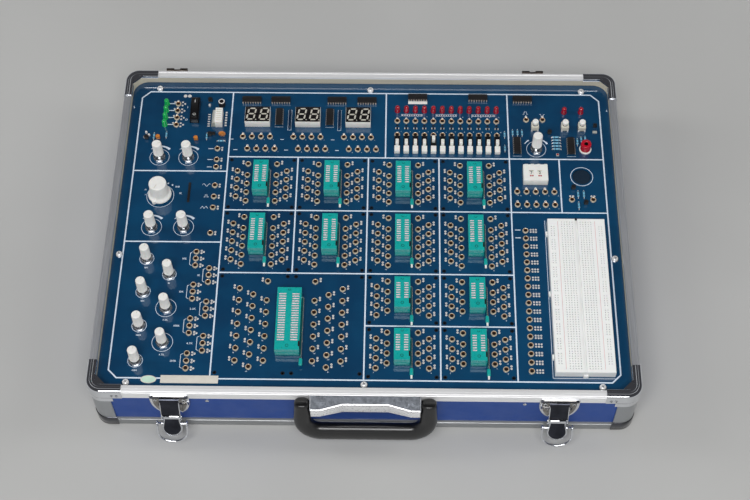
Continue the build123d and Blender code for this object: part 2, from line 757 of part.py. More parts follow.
def make_board_screws():
    with BuildPart() as screw:
        Cylinder(screw_head_radius, screw_head_height, align=(Align.CENTER, Align.CENTER, Align.MIN))
        fillet(screw.faces().sort_by(Axis.Z)[-1].edges(), 1.2)
        with Locations((0, 0, screw_head_height)):
            Box(0.8, 2 * screw_head_radius, 1.0, mode=Mode.SUBTRACT)
        Cylinder(screw_shank_radius, screw_depth, align=(Align.CENTER, Align.CENTER, Align.MAX))
    return copies(screw.part, [(x, y, board_top) for x, y in board_screw_spots])


def socket_size(pins):
    """Length, width, slot row spacing and slot length of a lever socket."""
    rows = pins // 2
    wide = pins >= 40
    return (socket_end_margin + pin_pitch * rows,
            socket_wide_width if wide else socket_width,
            slot_row_wide if wide else slot_row,
            slot_length_wide if wide else slot_length)


def make_socket(pins):
    """One lever socket, origin at the middle of its rear end on the board: base and slotted top."""
    length, width, row, slot = socket_size(pins)
    lever_y = -lever_setback
    with BuildPart() as base:
        with Locations((0, 0, 0)):
            Box(width, length, socket_base_height, align=(Align.CENTER, Align.MAX, Align.MIN))
        with BuildSketch(Plane.YZ.offset(width / 2 - lever_pin_depth - 0.4)):
            with Locations((lever_y, lever_height)):
                Circle(lever_wire_radius + lever_clearance)
        extrude(amount=width, mode=Mode.SUBTRACT)
    low = socket_base_height + socket_joint_gap
    with BuildPart() as top:
        with Locations((0, 0, low)):
            Box(width, length, socket_height - low, align=(Align.CENTER, Align.MAX, Align.MIN))
        chamfer(top.faces().sort_by(Axis.Z)[-1].edges(), 0.6)
        middle = -socket_rear_margin - pin_pitch * (pins // 2 - 1) / 2
        with BuildSketch(Plane.XY.offset(socket_height)):
            with Locations((0, middle)):
                with GridLocations(row, pin_pitch, 2, pins // 2):
                    Rectangle(slot, slot_width)
        extrude(amount=-slot_depth, mode=Mode.SUBTRACT)
        with BuildSketch(Plane.XY.offset(socket_height)):
            with Locations((0, -length + 5.2)):
                SlotOverall(4.4, 2.2, rotation=90)
            with Locations((0, -2.6)):
                SlotOverall(2.8, 1.6, rotation=90)
        extrude(amount=-0.7, mode=Mode.SUBTRACT)
    return [base.part, top.part]


def make_sockets():
    pieces = []
    for name, pins, rear, columns in socket_rows:
        for x in columns:
            spot = Location((x + socket_offset, rear, board_top))
            pieces += [piece.moved(spot) for piece in make_socket(pins)]
    return group(pieces)


def make_lever_row(pins, rear, columns):
    """The cranked levers of one row of sockets, which share one pivot line."""
    length, width, _, _ = socket_size(pins)
    side = width / 2 + lever_side_gap + lever_wire_radius
    grip_y = -length - lever_grip_start
    end_y = grip_y - lever_grip_length - lever_tip
    with BuildPart() as lever:
        with BuildLine() as wire:
            FilletPolyline((width / 2 - lever_pin_depth, -lever_setback, lever_height),
                           (side, -lever_setback, lever_height), (side, end_y, lever_height),
                           radius=lever_wire_radius + 0.35)
        with BuildSketch(Plane(origin=wire.line @ 0, z_dir=wire.line % 0)):
            Circle(lever_wire_radius)
        sweep(path=wire.line)
        with BuildSketch(Plane.XZ.offset(-grip_y)):
            with Locations((side, lever_height)):
                RectangleRounded(lever_grip_size, lever_grip_size, 0.9)
        extrude(amount=lever_grip_length)
    return copies(lever.part, [(x + socket_offset, rear, board_top) for x in columns])


def terminal_spots():
    """Places of all the wire terminals, as drawn, then moved onto the board."""
    spots = []
    for name, _, _, columns in socket_rows:
        if name == "wide":
            continue
        supply, inner, inner_count, outer, outer_count = terminal_rows[name]
        inner_ys = [supply] + [inner - terminal_pitch * i for i in range(inner_count)]
        outer_ys = [outer - terminal_pitch * i for i in range(outer_count)]
        for x in columns:
            for side in (-1, 1):
                spots += [(x + side * inner_offset, along(y)) for y in inner_ys]
                spots += [(x + side * outer_offset, along(y)) for y in outer_ys]
    wide_x = (cell_columns[0] + cell_columns[1]) / 2
    near, middle, far = wide_offsets
    for side in (-1, 1):
        near_ys = [-60.8] + [-81.5 - wide_pitch * i for i in range(6)]
        spots += [(wide_x + side * near, along(y)) for y in near_ys]
        spots += [(wide_x + side * middle, along(-75.2 - wide_pitch * i)) for i in range(7)]
        spots += [(wide_x + side * far, along(-68.8 - wide_pitch * i)) for i in range(7)]
    for x, _ in display_spots:
        spots += [(x - 14.1 + logic_pitch * i, along(107.7)) for i in range(4)]
        spots += [(x - 8.8 + logic_pitch * i, along(92.8)) for i in range(4)]
    spots += [(x, along(y)) for x in logic_columns for y in (111.4, 128.6)]
    spots += places((158.3, 131.2), (174.8, 131.2), (199.3, 34.8), (220.0, 34.8))
    spots += places(*[(146.2 + 9.1 * i, y) for i in range(5) for y in (43.6, 28.4)])
    spots += [(breadboard_terminals_x, breadboard_terminals_y - breadboard_terminal_pitch * i)
              for i in range(18)]
    spots += [(supply_terminal_x, y) for y in supply_ys]
    spots += places((-151.5, 92.5), (-151.3, 79.2), (-151.3, 70.3))
    spots += places((-150.8, 48.1), (-150.8, 34.9), (-150.8, 22.1), (-151.1, -7.4))
    for index in range(7):
        x = -162.7 if index % 2 == 0 else -149.1
        middle = -36.4 - 18.25 * index
        spots += places(*[(x, middle + 7.6 * step) for step in (-1, 0, 1)])
    return spots


def make_wire_terminals():
    """Gilt cups, one for every wire end."""
    with BuildPart() as terminal:
        Cylinder(terminal_radius, terminal_height, align=(Align.CENTER, Align.CENTER, Align.MIN))
        with Locations((0, 0, terminal_floor)):
            Cylinder(terminal_bore, terminal_height, align=(Align.CENTER, Align.CENTER, Align.MIN),
                     mode=Mode.SUBTRACT)
    return copies(terminal.part, [(x, y, board_top) for x, y in terminal_spots()])


def make_breadboard():
    low = board_top
    with BuildPart() as breadboard:
        with Locations((breadboard_x, breadboard_y, low)):
            Box(breadboard_width, breadboard_length, breadboard_height,
                align=(Align.CENTER, Align.CENTER, Align.MIN))
        top = low + breadboard_height
        with BuildSketch(Plane.XY.offset(top)):
            with Locations((breadboard_x, breadboard_y)):
                Rectangle(breadboard_groove_width, breadboard_length)
        extrude(amount=-breadboard_groove_depth, mode=Mode.SUBTRACT)
        rail_x = breadboard_width / 2 - breadboard_rail
        with BuildSketch(Plane.XY.offset(top)):
            with Locations((breadboard_x - rail_x, breadboard_y), (breadboard_x + rail_x, breadboard_y)):
                Rectangle(rail_line, breadboard_length)
        extrude(amount=-0.8, mode=Mode.SUBTRACT)
        left = breadboard_x - breadboard_width / 2
        front = breadboard_y - breadboard_length / 2
        with Locations(*[(left, breadboard_y + step, low) for step in (68.5, 2.0, -64.5)]):
            Box(tab_length, tab_width, tab_height, align=(Align.MAX, Align.CENTER, Align.MIN))
        with Locations((breadboard_x + 0.4, front, low)):
            Box(tab_width, tab_length, tab_height, align=(Align.CENTER, Align.MAX, Align.MIN))
    return breadboard.part


def make_display_blocks():
    with BuildPart() as block:
        Box(display_length, display_depth, display_height, align=(Align.CENTER, Align.CENTER, Align.MIN))
        chamfer(block.faces().sort_by(Axis.Z)[-1].edges(), 0.3)
    return copies(block.part, [(x, y, board_top) for x, y in display_spots])


def make_chip():
    """Dual-in-line chip, long side along X, legs down to the board."""
    with BuildPart() as chip:
        with Locations((0, 0, chip_stand)):
            Box(chip_length, chip_width, chip_height, align=(Align.CENTER, Align.CENTER, Align.MIN))
        chamfer(chip.faces().sort_by(Axis.Z)[-1].edges(), 0.5)
        with Locations((-chip_length / 2, 0, chip_stand + chip_height)):
            Cylinder(1.1, 0.8, mode=Mode.SUBTRACT)
        for side in (-1, 1):
            with Locations((0, side * (chip_width / 2 + chip_leg_out / 2), 0)):
                with GridLocations(pin_pitch, 1, chip_legs, 1):
                    Box(chip_leg_width, chip_leg_out, chip_stand + chip_height / 2,
                        align=(Align.CENTER, Align.CENTER, Align.MIN))
    return chip.part


def make_resistor(length, radius):
    """Resistor lying along X with its two bent leads."""
    with BuildPart() as resistor:
        with Locations((0, 0, radius)):
            Cylinder(radius, length, rotation=(0, 90, 0))
        fillet(resistor.edges().filter_by(GeomType.CIRCLE), radius * 0.4)
        with Locations((0, 0, radius)):
            Cylinder(0.3, length + 3.0, rotation=(0, 90, 0))
        for side in (-1, 1):
            with Locations((side * (length / 2 + 1.5), 0, 0)):
                Cylinder(0.3, radius + 0.3, align=(Align.CENTER, Align.CENTER, Align.MIN))
    return resistor.part


def make_small_parts():
    """Chips, resistors, capacitors and the connector on the board, and the speaker under it."""
    chip = make_chip()
    pieces = [chip.moved(Location((x, y, board_top))) for x, y in chips_across]
    pieces += [chip.moved(Location((x, y, board_top), (0, 0, 90))) for x, y in chips_along]
    resistor = make_resistor(6.2, 1.2)
    for y in (109.3, 105.7, 102.1, 98.5, 94.9):
        pieces.append(resistor.moved(Location((across(187.4), along(y), board_top))))
    for x, y in places((-216.3, 106.8), (205.6, 41.0), (211.2, 41.0), (205.6, 27.8), (208.4, 104.0)):
        pieces.append(resistor.moved(Location((x, y, board_top), (0, 0, 90))))
    with BuildPart() as network:
        Box(20.4, 2.0, 5.0, align=(Align.CENTER, Align.CENTER, Align.MIN))
    for x, y in places((-80.6, 128.6), (-30.3, 128.6)):
        pieces.append(network.part.moved(Location((x, y, board_top), (0, 0, 90))))
    with BuildPart() as connector:
        Box(7.2, 18.0, 9.5, align=(Align.CENTER, Align.CENTER, Align.MIN))
        with Locations((-3.6, 0, 0)):
            Box(4.4, 16.0, 6.0, align=(Align.MAX, Align.CENTER, Align.MIN))
        with Locations((0, 0, 9.5)):
            Box(5.0, 15.6, 5.0, mode=Mode.SUBTRACT)
    pieces.append(connector.part.moved(Location((across(-152.0), along(128.0), board_top))))
    with BuildPart() as can:
        Cylinder(3.4, 7.0, align=(Align.CENTER, Align.CENTER, Align.MIN))
        fillet(can.faces().sort_by(Axis.Z)[-1].edges(), 0.5)
    pieces.append(can.part.moved(Location((across(-150.6), along(147.0), board_top))))
    with BuildPart() as disc:
        with Locations((0, 0, 4.2)):
            Cylinder(3.6, 2.6, rotation=(90, 0, 0))
        with Locations((-1.6, 0, 0), (1.6, 0, 0)):
            Cylinder(0.3, 3.0, align=(Align.CENTER, Align.CENTER, Align.MIN))
    pieces.append(disc.part.moved(Location((across(-147.6), along(108.2), board_top))))
    with BuildPart() as transistor:
        Cylinder(2.3, 4.6, align=(Align.CENTER, Align.CENTER, Align.MIN))
        with Locations((0, -2.3, 0)):
            Box(6.0, 1.4, 12.0, mode=Mode.SUBTRACT)
    for x, y in places((-223.6, 104.2), (-212.0, 104.6), (-173.8, 103.4), (-160.2, 108.8), (181.0, 114.6),
                       (201.3, 47.8), (212.6, 30.2), (-162.8, 152.0)):
        pieces.append(transistor.part.moved(Location((x, y, board_top))))
    under = board_top - board_thickness
    with BuildPart() as speaker:
        with Locations((speaker_x, speaker_y, under)):
            Cylinder(speaker_radius, speaker_depth, align=(Align.CENTER, Align.CENTER, Align.MAX))
            Cone(speaker_hole_radius - 5.0, speaker_hole_radius - 0.5, 4.0,
                 align=(Align.CENTER, Align.CENTER, Align.MAX), mode=Mode.SUBTRACT)
    pieces.append(speaker.part)
    return group(pieces)


def make_lamps():
    """Green supply lamps, the row of red logic lamps and the two red pulse lamps."""
    with BuildPart() as lamp:
        Cylinder(lamp_flange_radius, lamp_flange_height, align=(Align.CENTER, Align.CENTER, Align.MIN))
        straight = lamp_height - lamp_radius
        with BuildSketch(Plane.XZ):
            with BuildLine():
                Polyline((0, lamp_height), (0, 0), (lamp_radius, 0), (lamp_radius, straight))
                RadiusArc((lamp_radius, straight), (0, lamp_height), -lamp_radius)
            make_face()
        revolve(axis=Axis.Z)
    spots = [(supply_lamp_x, y, board_top) for y in supply_ys]
    spots += [(x, logic_lamp_y, board_top) for x in logic_columns]
    spots += [(x, y, board_top) for x, y in pulse_lamp_spots]
    return copies(lamp.part, spots)


# ================================================================ switches and controls
def slide_well():
    """Front and rear ends of a slide switch's well, as y."""
    front = slide_front_y + slide_front_block
    rear = slide_front_y + slide_body_length - slide_rear_wall
    return front, rear


def make_slide_housing():
    front, rear = slide_well()
    with BuildPart() as housing:
        with Locations((0, slide_front_y, 0)):
            Box(slide_body_width, slide_body_length, slide_body_height,
                align=(Align.CENTER, Align.MIN, Align.MIN))
        with Locations((0, front, slide_well_floor)):
            Box(slide_body_width - 2 * slide_well_wall, rear - front, slide_body_height,
                align=(Align.CENTER, Align.MIN, Align.MIN), mode=Mode.SUBTRACT)
    return housing.part


def make_slide_lever(x, raised):
    """Lever of one slide switch, forward at rest or, on the raised switch, at the back."""
    front, _ = slide_well()
    shift = slide_rest_gap + (slide_travel if raised else 0)
    low = slide_well_floor + slide_lever_foot
    with BuildPart() as lever:
        with Locations((x, front + shift, board_top + low)):
            Box(slide_lever_width, slide_lever_length, slide_lever_top - low,
                align=(Align.CENTER, Align.MIN, Align.MIN))
        chamfer(lever.faces().sort_by(Axis.Z)[-1].edges(), 0.5)
    return lever.part


def make_button_housing():
    with BuildPart() as housing:
        Box(button_body_size, button_body_size, button_body_height,
            align=(Align.CENTER, Align.CENTER, Align.MIN))
        chamfer(housing.faces().sort_by(Axis.Z)[-1].edges(), 0.5)
        with Locations((0, 0, button_body_height)):
            Cylinder(button_stem_radius + button_clearance, 2 * button_stem_depth + 2 * button_travel,
                     mode=Mode.SUBTRACT)
    return housing.part


def make_button(x, y):
    """Round cap on a stem that slides in the housing."""
    cap_low = button_cap_top - button_cap_length
    with BuildPart() as button:
        with Locations((x, y, board_top + cap_low)):
            Cylinder(button_cap_radius, button_cap_length, align=(Align.CENTER, Align.CENTER, Align.MIN))
        fillet(button.faces().sort_by(Axis.Z)[-1].edges(), 1.0)
        stem_low = button_body_height - button_stem_depth
        with Locations((x, y, board_top + stem_low)):
            Cylinder(button_stem_radius, cap_low - stem_low, align=(Align.CENTER, Align.CENTER, Align.MIN))
    return button.part


def make_control_body():
    """Rotary control: can under the board, bushing through it, washer and hexagon nut on top."""
    hole = shaft_radius + bushing_clearance
    with BuildPart() as control:
        under = -board_thickness
        with Locations((0, 0, under)):
            Cylinder(control_radius, control_depth, align=(Align.CENTER, Align.CENTER, Align.MAX))
        with Locations((0, 0, under)):
            Cylinder(bushing_radius, bushing_height - under, align=(Align.CENTER, Align.CENTER, Align.MIN))
        Cylinder(washer_radius, washer_height, align=(Align.CENTER, Align.CENTER, Align.MIN))
        with BuildSketch(Plane.XY.offset(washer_height)):
            RegularPolygon(nut_across / 2, 6, major_radius=False)
        extrude(amount=nut_height)
        with Locations((0, 0, under - 3.0)):
            Cylinder(hole, 20.0, align=(Align.CENTER, Align.CENTER, Align.MIN), mode=Mode.SUBTRACT)
    return control.part


def make_knob(spot, radius, bottom):
    """Plain round knob and the shaft that turns with it."""
    x, y = spot
    low = board_top + bottom
    with BuildPart() as knob:
        with Locations((x, y, low)):
            Cylinder(radius, knob_length, align=(Align.CENTER, Align.CENTER, Align.MIN))
        fillet(knob.faces().sort_by(Axis.Z)[-1].edges(), knob_edge)
        shaft_low = board_top - board_thickness - 2.5
        with Locations((x, y, shaft_low)):
            Cylinder(shaft_radius, low + shaft_grip_length - shaft_low,
                     align=(Align.CENTER, Align.CENTER, Align.MIN))
    return knob.part


def make_selector_knob():
    """Skirted selector knob with a pointer, and its shaft."""
    x, y = selector_spot
    skirt = board_top + selector_skirt_bottom
    with BuildPart() as knob:
        with Locations((x, y, skirt)):
            Cylinder(selector_skirt_radius, selector_skirt_height,
                     align=(Align.CENTER, Align.CENTER, Align.MIN))
            Cylinder(selector_body_radius, selector_top - selector_skirt_bottom,
                     align=(Align.CENTER, Align.CENTER, Align.MIN))
        fillet(knob.faces().sort_by(Axis.Z)[-1].edges(), knob_edge)
        aim = radians(selector_pointer_angle)
        with BuildSketch(Plane(origin=(x, y, skirt), x_dir=(cos(aim), sin(aim), 0), z_dir=(0, 0, 1))):
            with BuildLine():
                half = selector_pointer_width / 2
                Polyline((selector_body_radius - 2, -half), (selector_pointer_reach - 1.5, -half),
                         (selector_pointer_reach, 0), (selector_pointer_reach - 1.5, half),
                         (selector_body_radius - 2, half), close=True)
            make_face()
        extrude(amount=selector_skirt_height + 1.2)
        with Locations((x, y, skirt)):
            Cylinder(nut_across / 2 + 1.6, 1.4, align=(Align.CENTER, Align.CENTER, Align.MIN),
                     mode=Mode.SUBTRACT)
        shaft_low = board_top - board_thickness - 2.5
        with Locations((x, y, shaft_low)):
            Cylinder(shaft_radius, skirt + shaft_grip_length - shaft_low,
                     align=(Align.CENTER, Align.CENTER, Align.MIN))
    return knob.part


def make_rocker_frame():
    """Frame of the power switch: an open box with two stub pins across it."""
    inside = rocker_frame_width - 2 * rocker_frame_wall
    with BuildPart() as frame:
        Box(rocker_frame_width, rocker_frame_length, rocker_frame_height,
            align=(Align.CENTER, Align.CENTER, Align.MIN))
        with Locations((0, 0, rocker_floor)):
            Box(inside, rocker_frame_length - 2 * rocker_frame_wall, rocker_frame_height,
                align=(Align.CENTER, Align.CENTER, Align.MIN), mode=Mode.SUBTRACT)
        for side in (-1, 1):
            start = side * (inside / 2 + 0.4)
            with BuildSketch(Plane.YZ.offset(min(start, start - side * 1.6))):
                with Locations((0, rocker_pivot_height - 1.2)):
                    Circle(rocker_pin_radius)
            extrude(amount=1.6)
    return frame.part


def make_rocker():
    """Rocker of the power switch: a shallow vee on its pins, tipped forward at rest."""
    width = rocker_frame_width - 2 * rocker_frame_wall - 2 * rocker_side_gap
    half = rocker_frame_length / 2 - rocker_frame_wall - 0.6
    pivot_z = board_top + rocker_pivot_height - 1.2
    with BuildPart() as rocker:
        with BuildSketch(Plane.YZ.offset(-width / 2)):
            with BuildLine():
                Polyline((-half, 1.4), (-half + 0.5, 4.6), (0, 2.6), (half - 0.5, 4.6), (half, 1.4),
                         (3.0, -1.9), (-3.0, -1.9), close=True)
            make_face()
        extrude(amount=width)
        with BuildSketch(Plane.YZ.offset(-width)):
            Circle(rocker_pin_radius + 0.05)
        extrude(amount=2 * width, mode=Mode.SUBTRACT)
    tilted = rocker.part.rotate(Axis.X, rocker_tilt)
    return tilted.moved(Location((rocker_x, rocker_y, pivot_z)))


def make_code_switch():
    """Housing of the two-digit code switch, open over each number wheel, with the wheels' axle."""
    hollow = 2 * (code_wheel_radius + code_wall_gap)
    with BuildPart() as housing:
        Box(code_length, code_depth, code_height, align=(Align.CENTER, Align.CENTER, Align.MIN))
        chamfer(housing.faces().sort_by(Axis.Z)[-1].edges(), 0.4)
        for x in code_wheel_spots.values():
            with BuildSketch(Plane.YZ.offset(x - code_x - code_wheel_width / 2 - code_wall_gap / 2)):
                with Locations((0, code_wheel_height)):
                    Circle(hollow / 2)
            extrude(amount=code_wheel_width + code_wall_gap, mode=Mode.SUBTRACT)
            with Locations((x - code_x, 0, code_height)):
                Box(code_wheel_width - 1.6, code_window_length, 4.0, mode=Mode.SUBTRACT)
        with BuildSketch(Plane.YZ.offset(-code_length / 2 + 2.0)):
            with Locations((0, code_wheel_height)):
                Circle(code_axle_radius)
        extrude(amount=code_length - 4.0)
        with Locations((0, 0, 0)):
            Box(2 * code_length, 2 * code_depth, 20, align=(Align.CENTER, Align.CENTER, Align.MAX),
                mode=Mode.SUBTRACT)
    return housing.part


def make_code_wheel(x):
    """Ten-sided number wheel on the code switch's axle."""
    with BuildPart() as wheel:
        with BuildSketch(Plane.YZ.offset(x - code_wheel_width / 2)):
            with Locations((code_y, board_top + code_wheel_height)):
                RegularPolygon(code_wheel_radius, 10, rotation=18)
                Circle(code_axle_radius + 0.06, mode=Mode.SUBTRACT)
        extrude(amount=code_wheel_width)
    return wheel.part


def make_post():
    """Red terminal post with a round flange and a blind bore for a plug."""
    with BuildPart() as post:
        Cylinder(post_flange_radius, post_flange_height, align=(Align.CENTER, Align.CENTER, Align.MIN))
        Cylinder(post_radius, post_height, align=(Align.CENTER, Align.CENTER, Align.MIN))
        fillet(post.faces().sort_by(Axis.Z)[-1].edges(), 0.8)
        with Locations((0, 0, post_height)):
            Cylinder(post_bore, 2 * post_bore_depth, mode=Mode.SUBTRACT)
    return post.part


def make_control_bodies():
    """Fixed bodies of all switches and rotary controls, and the terminal post."""
    slide = make_slide_housing()
    button = make_button_housing()
    control = make_control_body()
    knobs = supply_knobs + function_knobs + pot_knobs + [pulse_knob, selector_spot]
    pieces = [slide.moved(Location((x, 0, board_top))) for x in logic_columns]
    pieces += [button.moved(Location((x, y, board_top))) for x, y in button_spots]
    pieces += [control.moved(Location((x, y, board_top))) for x, y in knobs]
    pieces.append(make_rocker_frame().moved(Location((rocker_x, rocker_y, board_top))))
    pieces.append(make_code_switch().moved(Location((code_x, code_y, board_top))))
    pieces.append(make_post().moved(Location((post_x, post_y, board_top))))
    return group(pieces)


def make_supply_unit():
    """Power supply in its tray, standing on the base board."""
    with BuildPart() as unit:
        with Locations((supply_unit_x, supply_unit_y, base_thickness)):
            Box(supply_unit_length, supply_unit_depth, supply_unit_height,
                align=(Align.CENTER, Align.CENTER, Align.MIN))
        chamfer(unit.edges().filter_by(Axis.Z), 2.0)
    return unit.part


# ================================================================ the nodes
keep("upper_frame", make_upper_frame())
keep("lower_frame", group(make_lower_frame() + to_corners(make_corner_post())))
keep("side_panels", make_side_panels())
front_caps = to_corners(make_top_cap())
front_rivets = [make_cap_rivets(), make_cap_rivets().mirror(Plane.YZ)]
keep("corner_caps", group(front_caps + front_rivets + to_corners(make_bottom_cap())))
keep("base_board", make_base_board())
keep("lining_ledge", make_lining())
keep("hinge_halves", make_hinge_halves())
keep("catch_plates", make_catch_plates())
keep("handle_bracket", make_handle_bracket())
keep("handle_grip", make_handle_grip())
for side, catch_x in catch_xs.items():
    keep(f"{side}_catch_lever", make_catch_lever(catch_x))
    keep(f"{side}_catch_bail", make_bail(catch_x))

keep("circuit_board", make_circuit_board())
keep("board_screws", make_board_screws())
keep("lever_sockets", make_sockets())
for name, pins, rear, columns in socket_rows:
    keep(f"{name}_row_levers" if len(columns) > 1 else "wide_socket_lever", make_lever_row(pins, rear, columns))
keep("wire_terminals", make_wire_terminals())
keep("breadboard", make_breadboard())
keep("display_blocks", make_display_blocks())
keep("small_parts", make_small_parts())
keep("lamps", make_lamps())
keep("control_bodies", make_control_bodies())
keep("power_supply", make_supply_unit())

for index, x in enumerate(logic_columns):
    keep(f"slide_lever_{index + 1}", make_slide_lever(x, index == raised_switch))
for name, (x, y) in zip(("pulse", "left_step", "right_step"), button_spots):
    keep(f"{name}_button", make_button(x, y))
keep("power_rocker", make_rocker())
for digit, x in code_wheel_spots.items():
    keep(f"{digit}_wheel", make_code_wheel(x))
for name, spot in zip(("positive_supply", "negative_supply"), supply_knobs):
    keep(f"{name}_knob", make_knob(spot, knob_radius, plain_knob_bottom))
for name, spot in zip(("amplitude", "frequency"), function_knobs):
    keep(f"{name}_knob", make_knob(spot, knob_radius, plain_knob_bottom))
keep("pulse_rate_knob", make_knob(pulse_knob, knob_radius, plain_knob_bottom))
keep("range_selector_knob", make_selector_knob())
for index, spot in enumerate(pot_knobs):
    keep(f"pot_knob_{index + 1}", make_knob(spot, slim_knob_radius, slim_knob_bottom))
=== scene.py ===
"""Visual model of the digital logic trainer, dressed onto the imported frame. Lengths are in millimetres
until Piece.make() turns them into metres."""
import random
from math import asin, atan2, cos, degrees, pi, radians, sin, sqrt

import bmesh
import bpy
import numpy as np
from mathutils import Matrix, Vector


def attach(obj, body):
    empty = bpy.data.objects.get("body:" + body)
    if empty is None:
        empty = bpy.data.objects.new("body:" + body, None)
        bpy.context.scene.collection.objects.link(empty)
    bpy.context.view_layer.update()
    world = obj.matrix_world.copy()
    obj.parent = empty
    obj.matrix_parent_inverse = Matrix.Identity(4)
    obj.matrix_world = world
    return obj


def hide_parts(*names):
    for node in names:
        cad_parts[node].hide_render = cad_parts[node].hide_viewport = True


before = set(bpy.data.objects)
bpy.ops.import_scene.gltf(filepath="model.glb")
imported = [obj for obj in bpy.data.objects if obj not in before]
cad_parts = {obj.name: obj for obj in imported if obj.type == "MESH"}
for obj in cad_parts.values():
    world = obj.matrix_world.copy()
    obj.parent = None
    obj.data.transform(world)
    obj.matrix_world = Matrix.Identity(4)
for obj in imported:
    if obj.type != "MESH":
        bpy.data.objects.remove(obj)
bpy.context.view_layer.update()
random.seed(11)

MM = 0.001
CASE_X, CASE_Y, CASE_Z, CASE_R = 249.5, 183.0, 67.5, 13.0
BOARD = 57.0
INK = BOARD + 0.06          # height of the printed lines


# ---------------------------------------------------------------- materials
def linear(*rgb):
    """sRGB 0..255 to the linear colour that Blender takes."""
    out = []
    for c in rgb:
        c = c / 255
        out.append(c / 12.92 if c <= 0.04045 else ((c + 0.055) / 1.055) ** 2.4)
    return (*out, 1.0)


class Nodes:
    """Small helper round one material's node tree."""

    def __init__(self, name):
        self.material = bpy.data.materials.new(name)
        self.material.use_nodes = True
        self.tree = self.material.node_tree
        self.shader = self.tree.nodes["Principled BSDF"]
        self.where = self.tree.nodes.new("ShaderNodeTexCoord").outputs["Object"]

    def node(self, kind, **settings):
        node = self.tree.nodes.new(kind)
        for key, value in settings.items():
            setattr(node, key, value)
        return node

    def link(self, a, b):
        self.tree.links.new(a, b)

    def stretched(self, scale):
        """Object coordinates scaled by axis."""
        mapping = self.node("ShaderNodeMapping")
        mapping.inputs["Scale"].default_value = scale
        self.link(self.where, mapping.inputs["Vector"])
        return mapping.outputs["Vector"]

    def noise(self, scale, detail=3.0, stretch=None, roughness=0.55):
        noise = self.node("ShaderNodeTexNoise")
        noise.inputs["Scale"].default_value = scale
        noise.inputs["Detail"].default_value = detail
        noise.inputs["Roughness"].default_value = roughness
        self.link(self.stretched(stretch) if stretch else self.where, noise.inputs["Vector"])
        return noise.outputs["Fac"]

    def ramp(self, value, *stops):
        """Colour ramp; each stop is (position, colour)."""
        ramp = self.node("ShaderNodeValToRGB")
        band = ramp.color_ramp
        while len(band.elements) < len(stops):
            band.elements.new(0.5)
        for element, (position, colour) in zip(band.elements, stops):
            element.position = position
            element.color = colour
        self.link(value, ramp.inputs["Fac"])
        return ramp.outputs["Color"]

    def spread(self, value, low, high, from_low=0.3, from_high=0.7):
        """Map a noise value to low..high."""
        scale = self.node("ShaderNodeMapRange")
        scale.inputs["From Min"].default_value = from_low
        scale.inputs["From Max"].default_value = from_high
        scale.inputs["To Min"].default_value = low
        scale.inputs["To Max"].default_value = high
        self.link(value, scale.inputs["Value"])
        return scale.outputs["Result"]

    def maths(self, operation, a, b):
        node = self.node("ShaderNodeMath", operation=operation)
        for socket, value in zip(node.inputs, (a, b)):
            if isinstance(value, (int, float)):
                socket.default_value = value
            else:
                self.link(value, socket)
        return node.outputs["Value"]

    def mix(self, factor, a, b, blend="MIX"):
        node = self.node("ShaderNodeMix", data_type="RGBA", blend_type=blend)
        if isinstance(factor, (int, float)):
            node.inputs["Factor"].default_value = factor
        else:
            self.link(factor, node.inputs["Factor"])
        for socket, value in ((node.inputs["A"], a), (node.inputs["B"], b)):
            if isinstance(value, tuple):
                socket.default_value = value
            else:
                self.link(value, socket)
        return node.outputs["Result"]

    def bump(self, height, distance, strength=1.0):
        bump = self.node("ShaderNodeBump")
        bump.inputs["Distance"].default_value = distance
        bump.inputs["Strength"].default_value = strength
        self.link(height, bump.inputs["Height"])
        self.link(bump.outputs["Normal"], self.shader.inputs["Normal"])


def shade(colour, factor):
    return (*[min(1.0, c * factor) for c in colour[:3]], 1.0)


def finish(name, colour, rough, metal=0.0, coat=0.0, coat_rough=0.08, vary=0.12, grain=90.0, rough_vary=0.08,
           bump=0.0, bump_scale=900.0, stretch=None, specular=0.5, transmission=0.0, subsurface=0.0):
    """A material with uneven colour and gloss, and a fine surface relief."""
    n = Nodes(name)
    broad = n.noise(grain, 4.0, stretch)
    colours = n.ramp(broad, (0.3, shade(colour, 1 - vary)), (0.7, shade(colour, 1 + vary)))
    n.link(colours, n.shader.inputs["Base Color"])
    gloss = n.noise(grain * 2.3, 3.0, stretch)
    n.link(n.spread(gloss, max(0.02, rough - rough_vary), rough + rough_vary), n.shader.inputs["Roughness"])
    n.shader.inputs["Metallic"].default_value = metal
    n.shader.inputs["Specular IOR Level"].default_value = specular
    n.shader.inputs["Coat Weight"].default_value = coat
    n.shader.inputs["Coat Roughness"].default_value = coat_rough
    n.shader.inputs["Transmission Weight"].default_value = transmission
    n.shader.inputs["Subsurface Weight"].default_value = subsurface
    if subsurface:
        n.shader.inputs["Subsurface Scale"].default_value = 0.002
    if bump:
        n.bump(n.noise(bump_scale, 2.0, stretch), bump * MM)
    return n.material


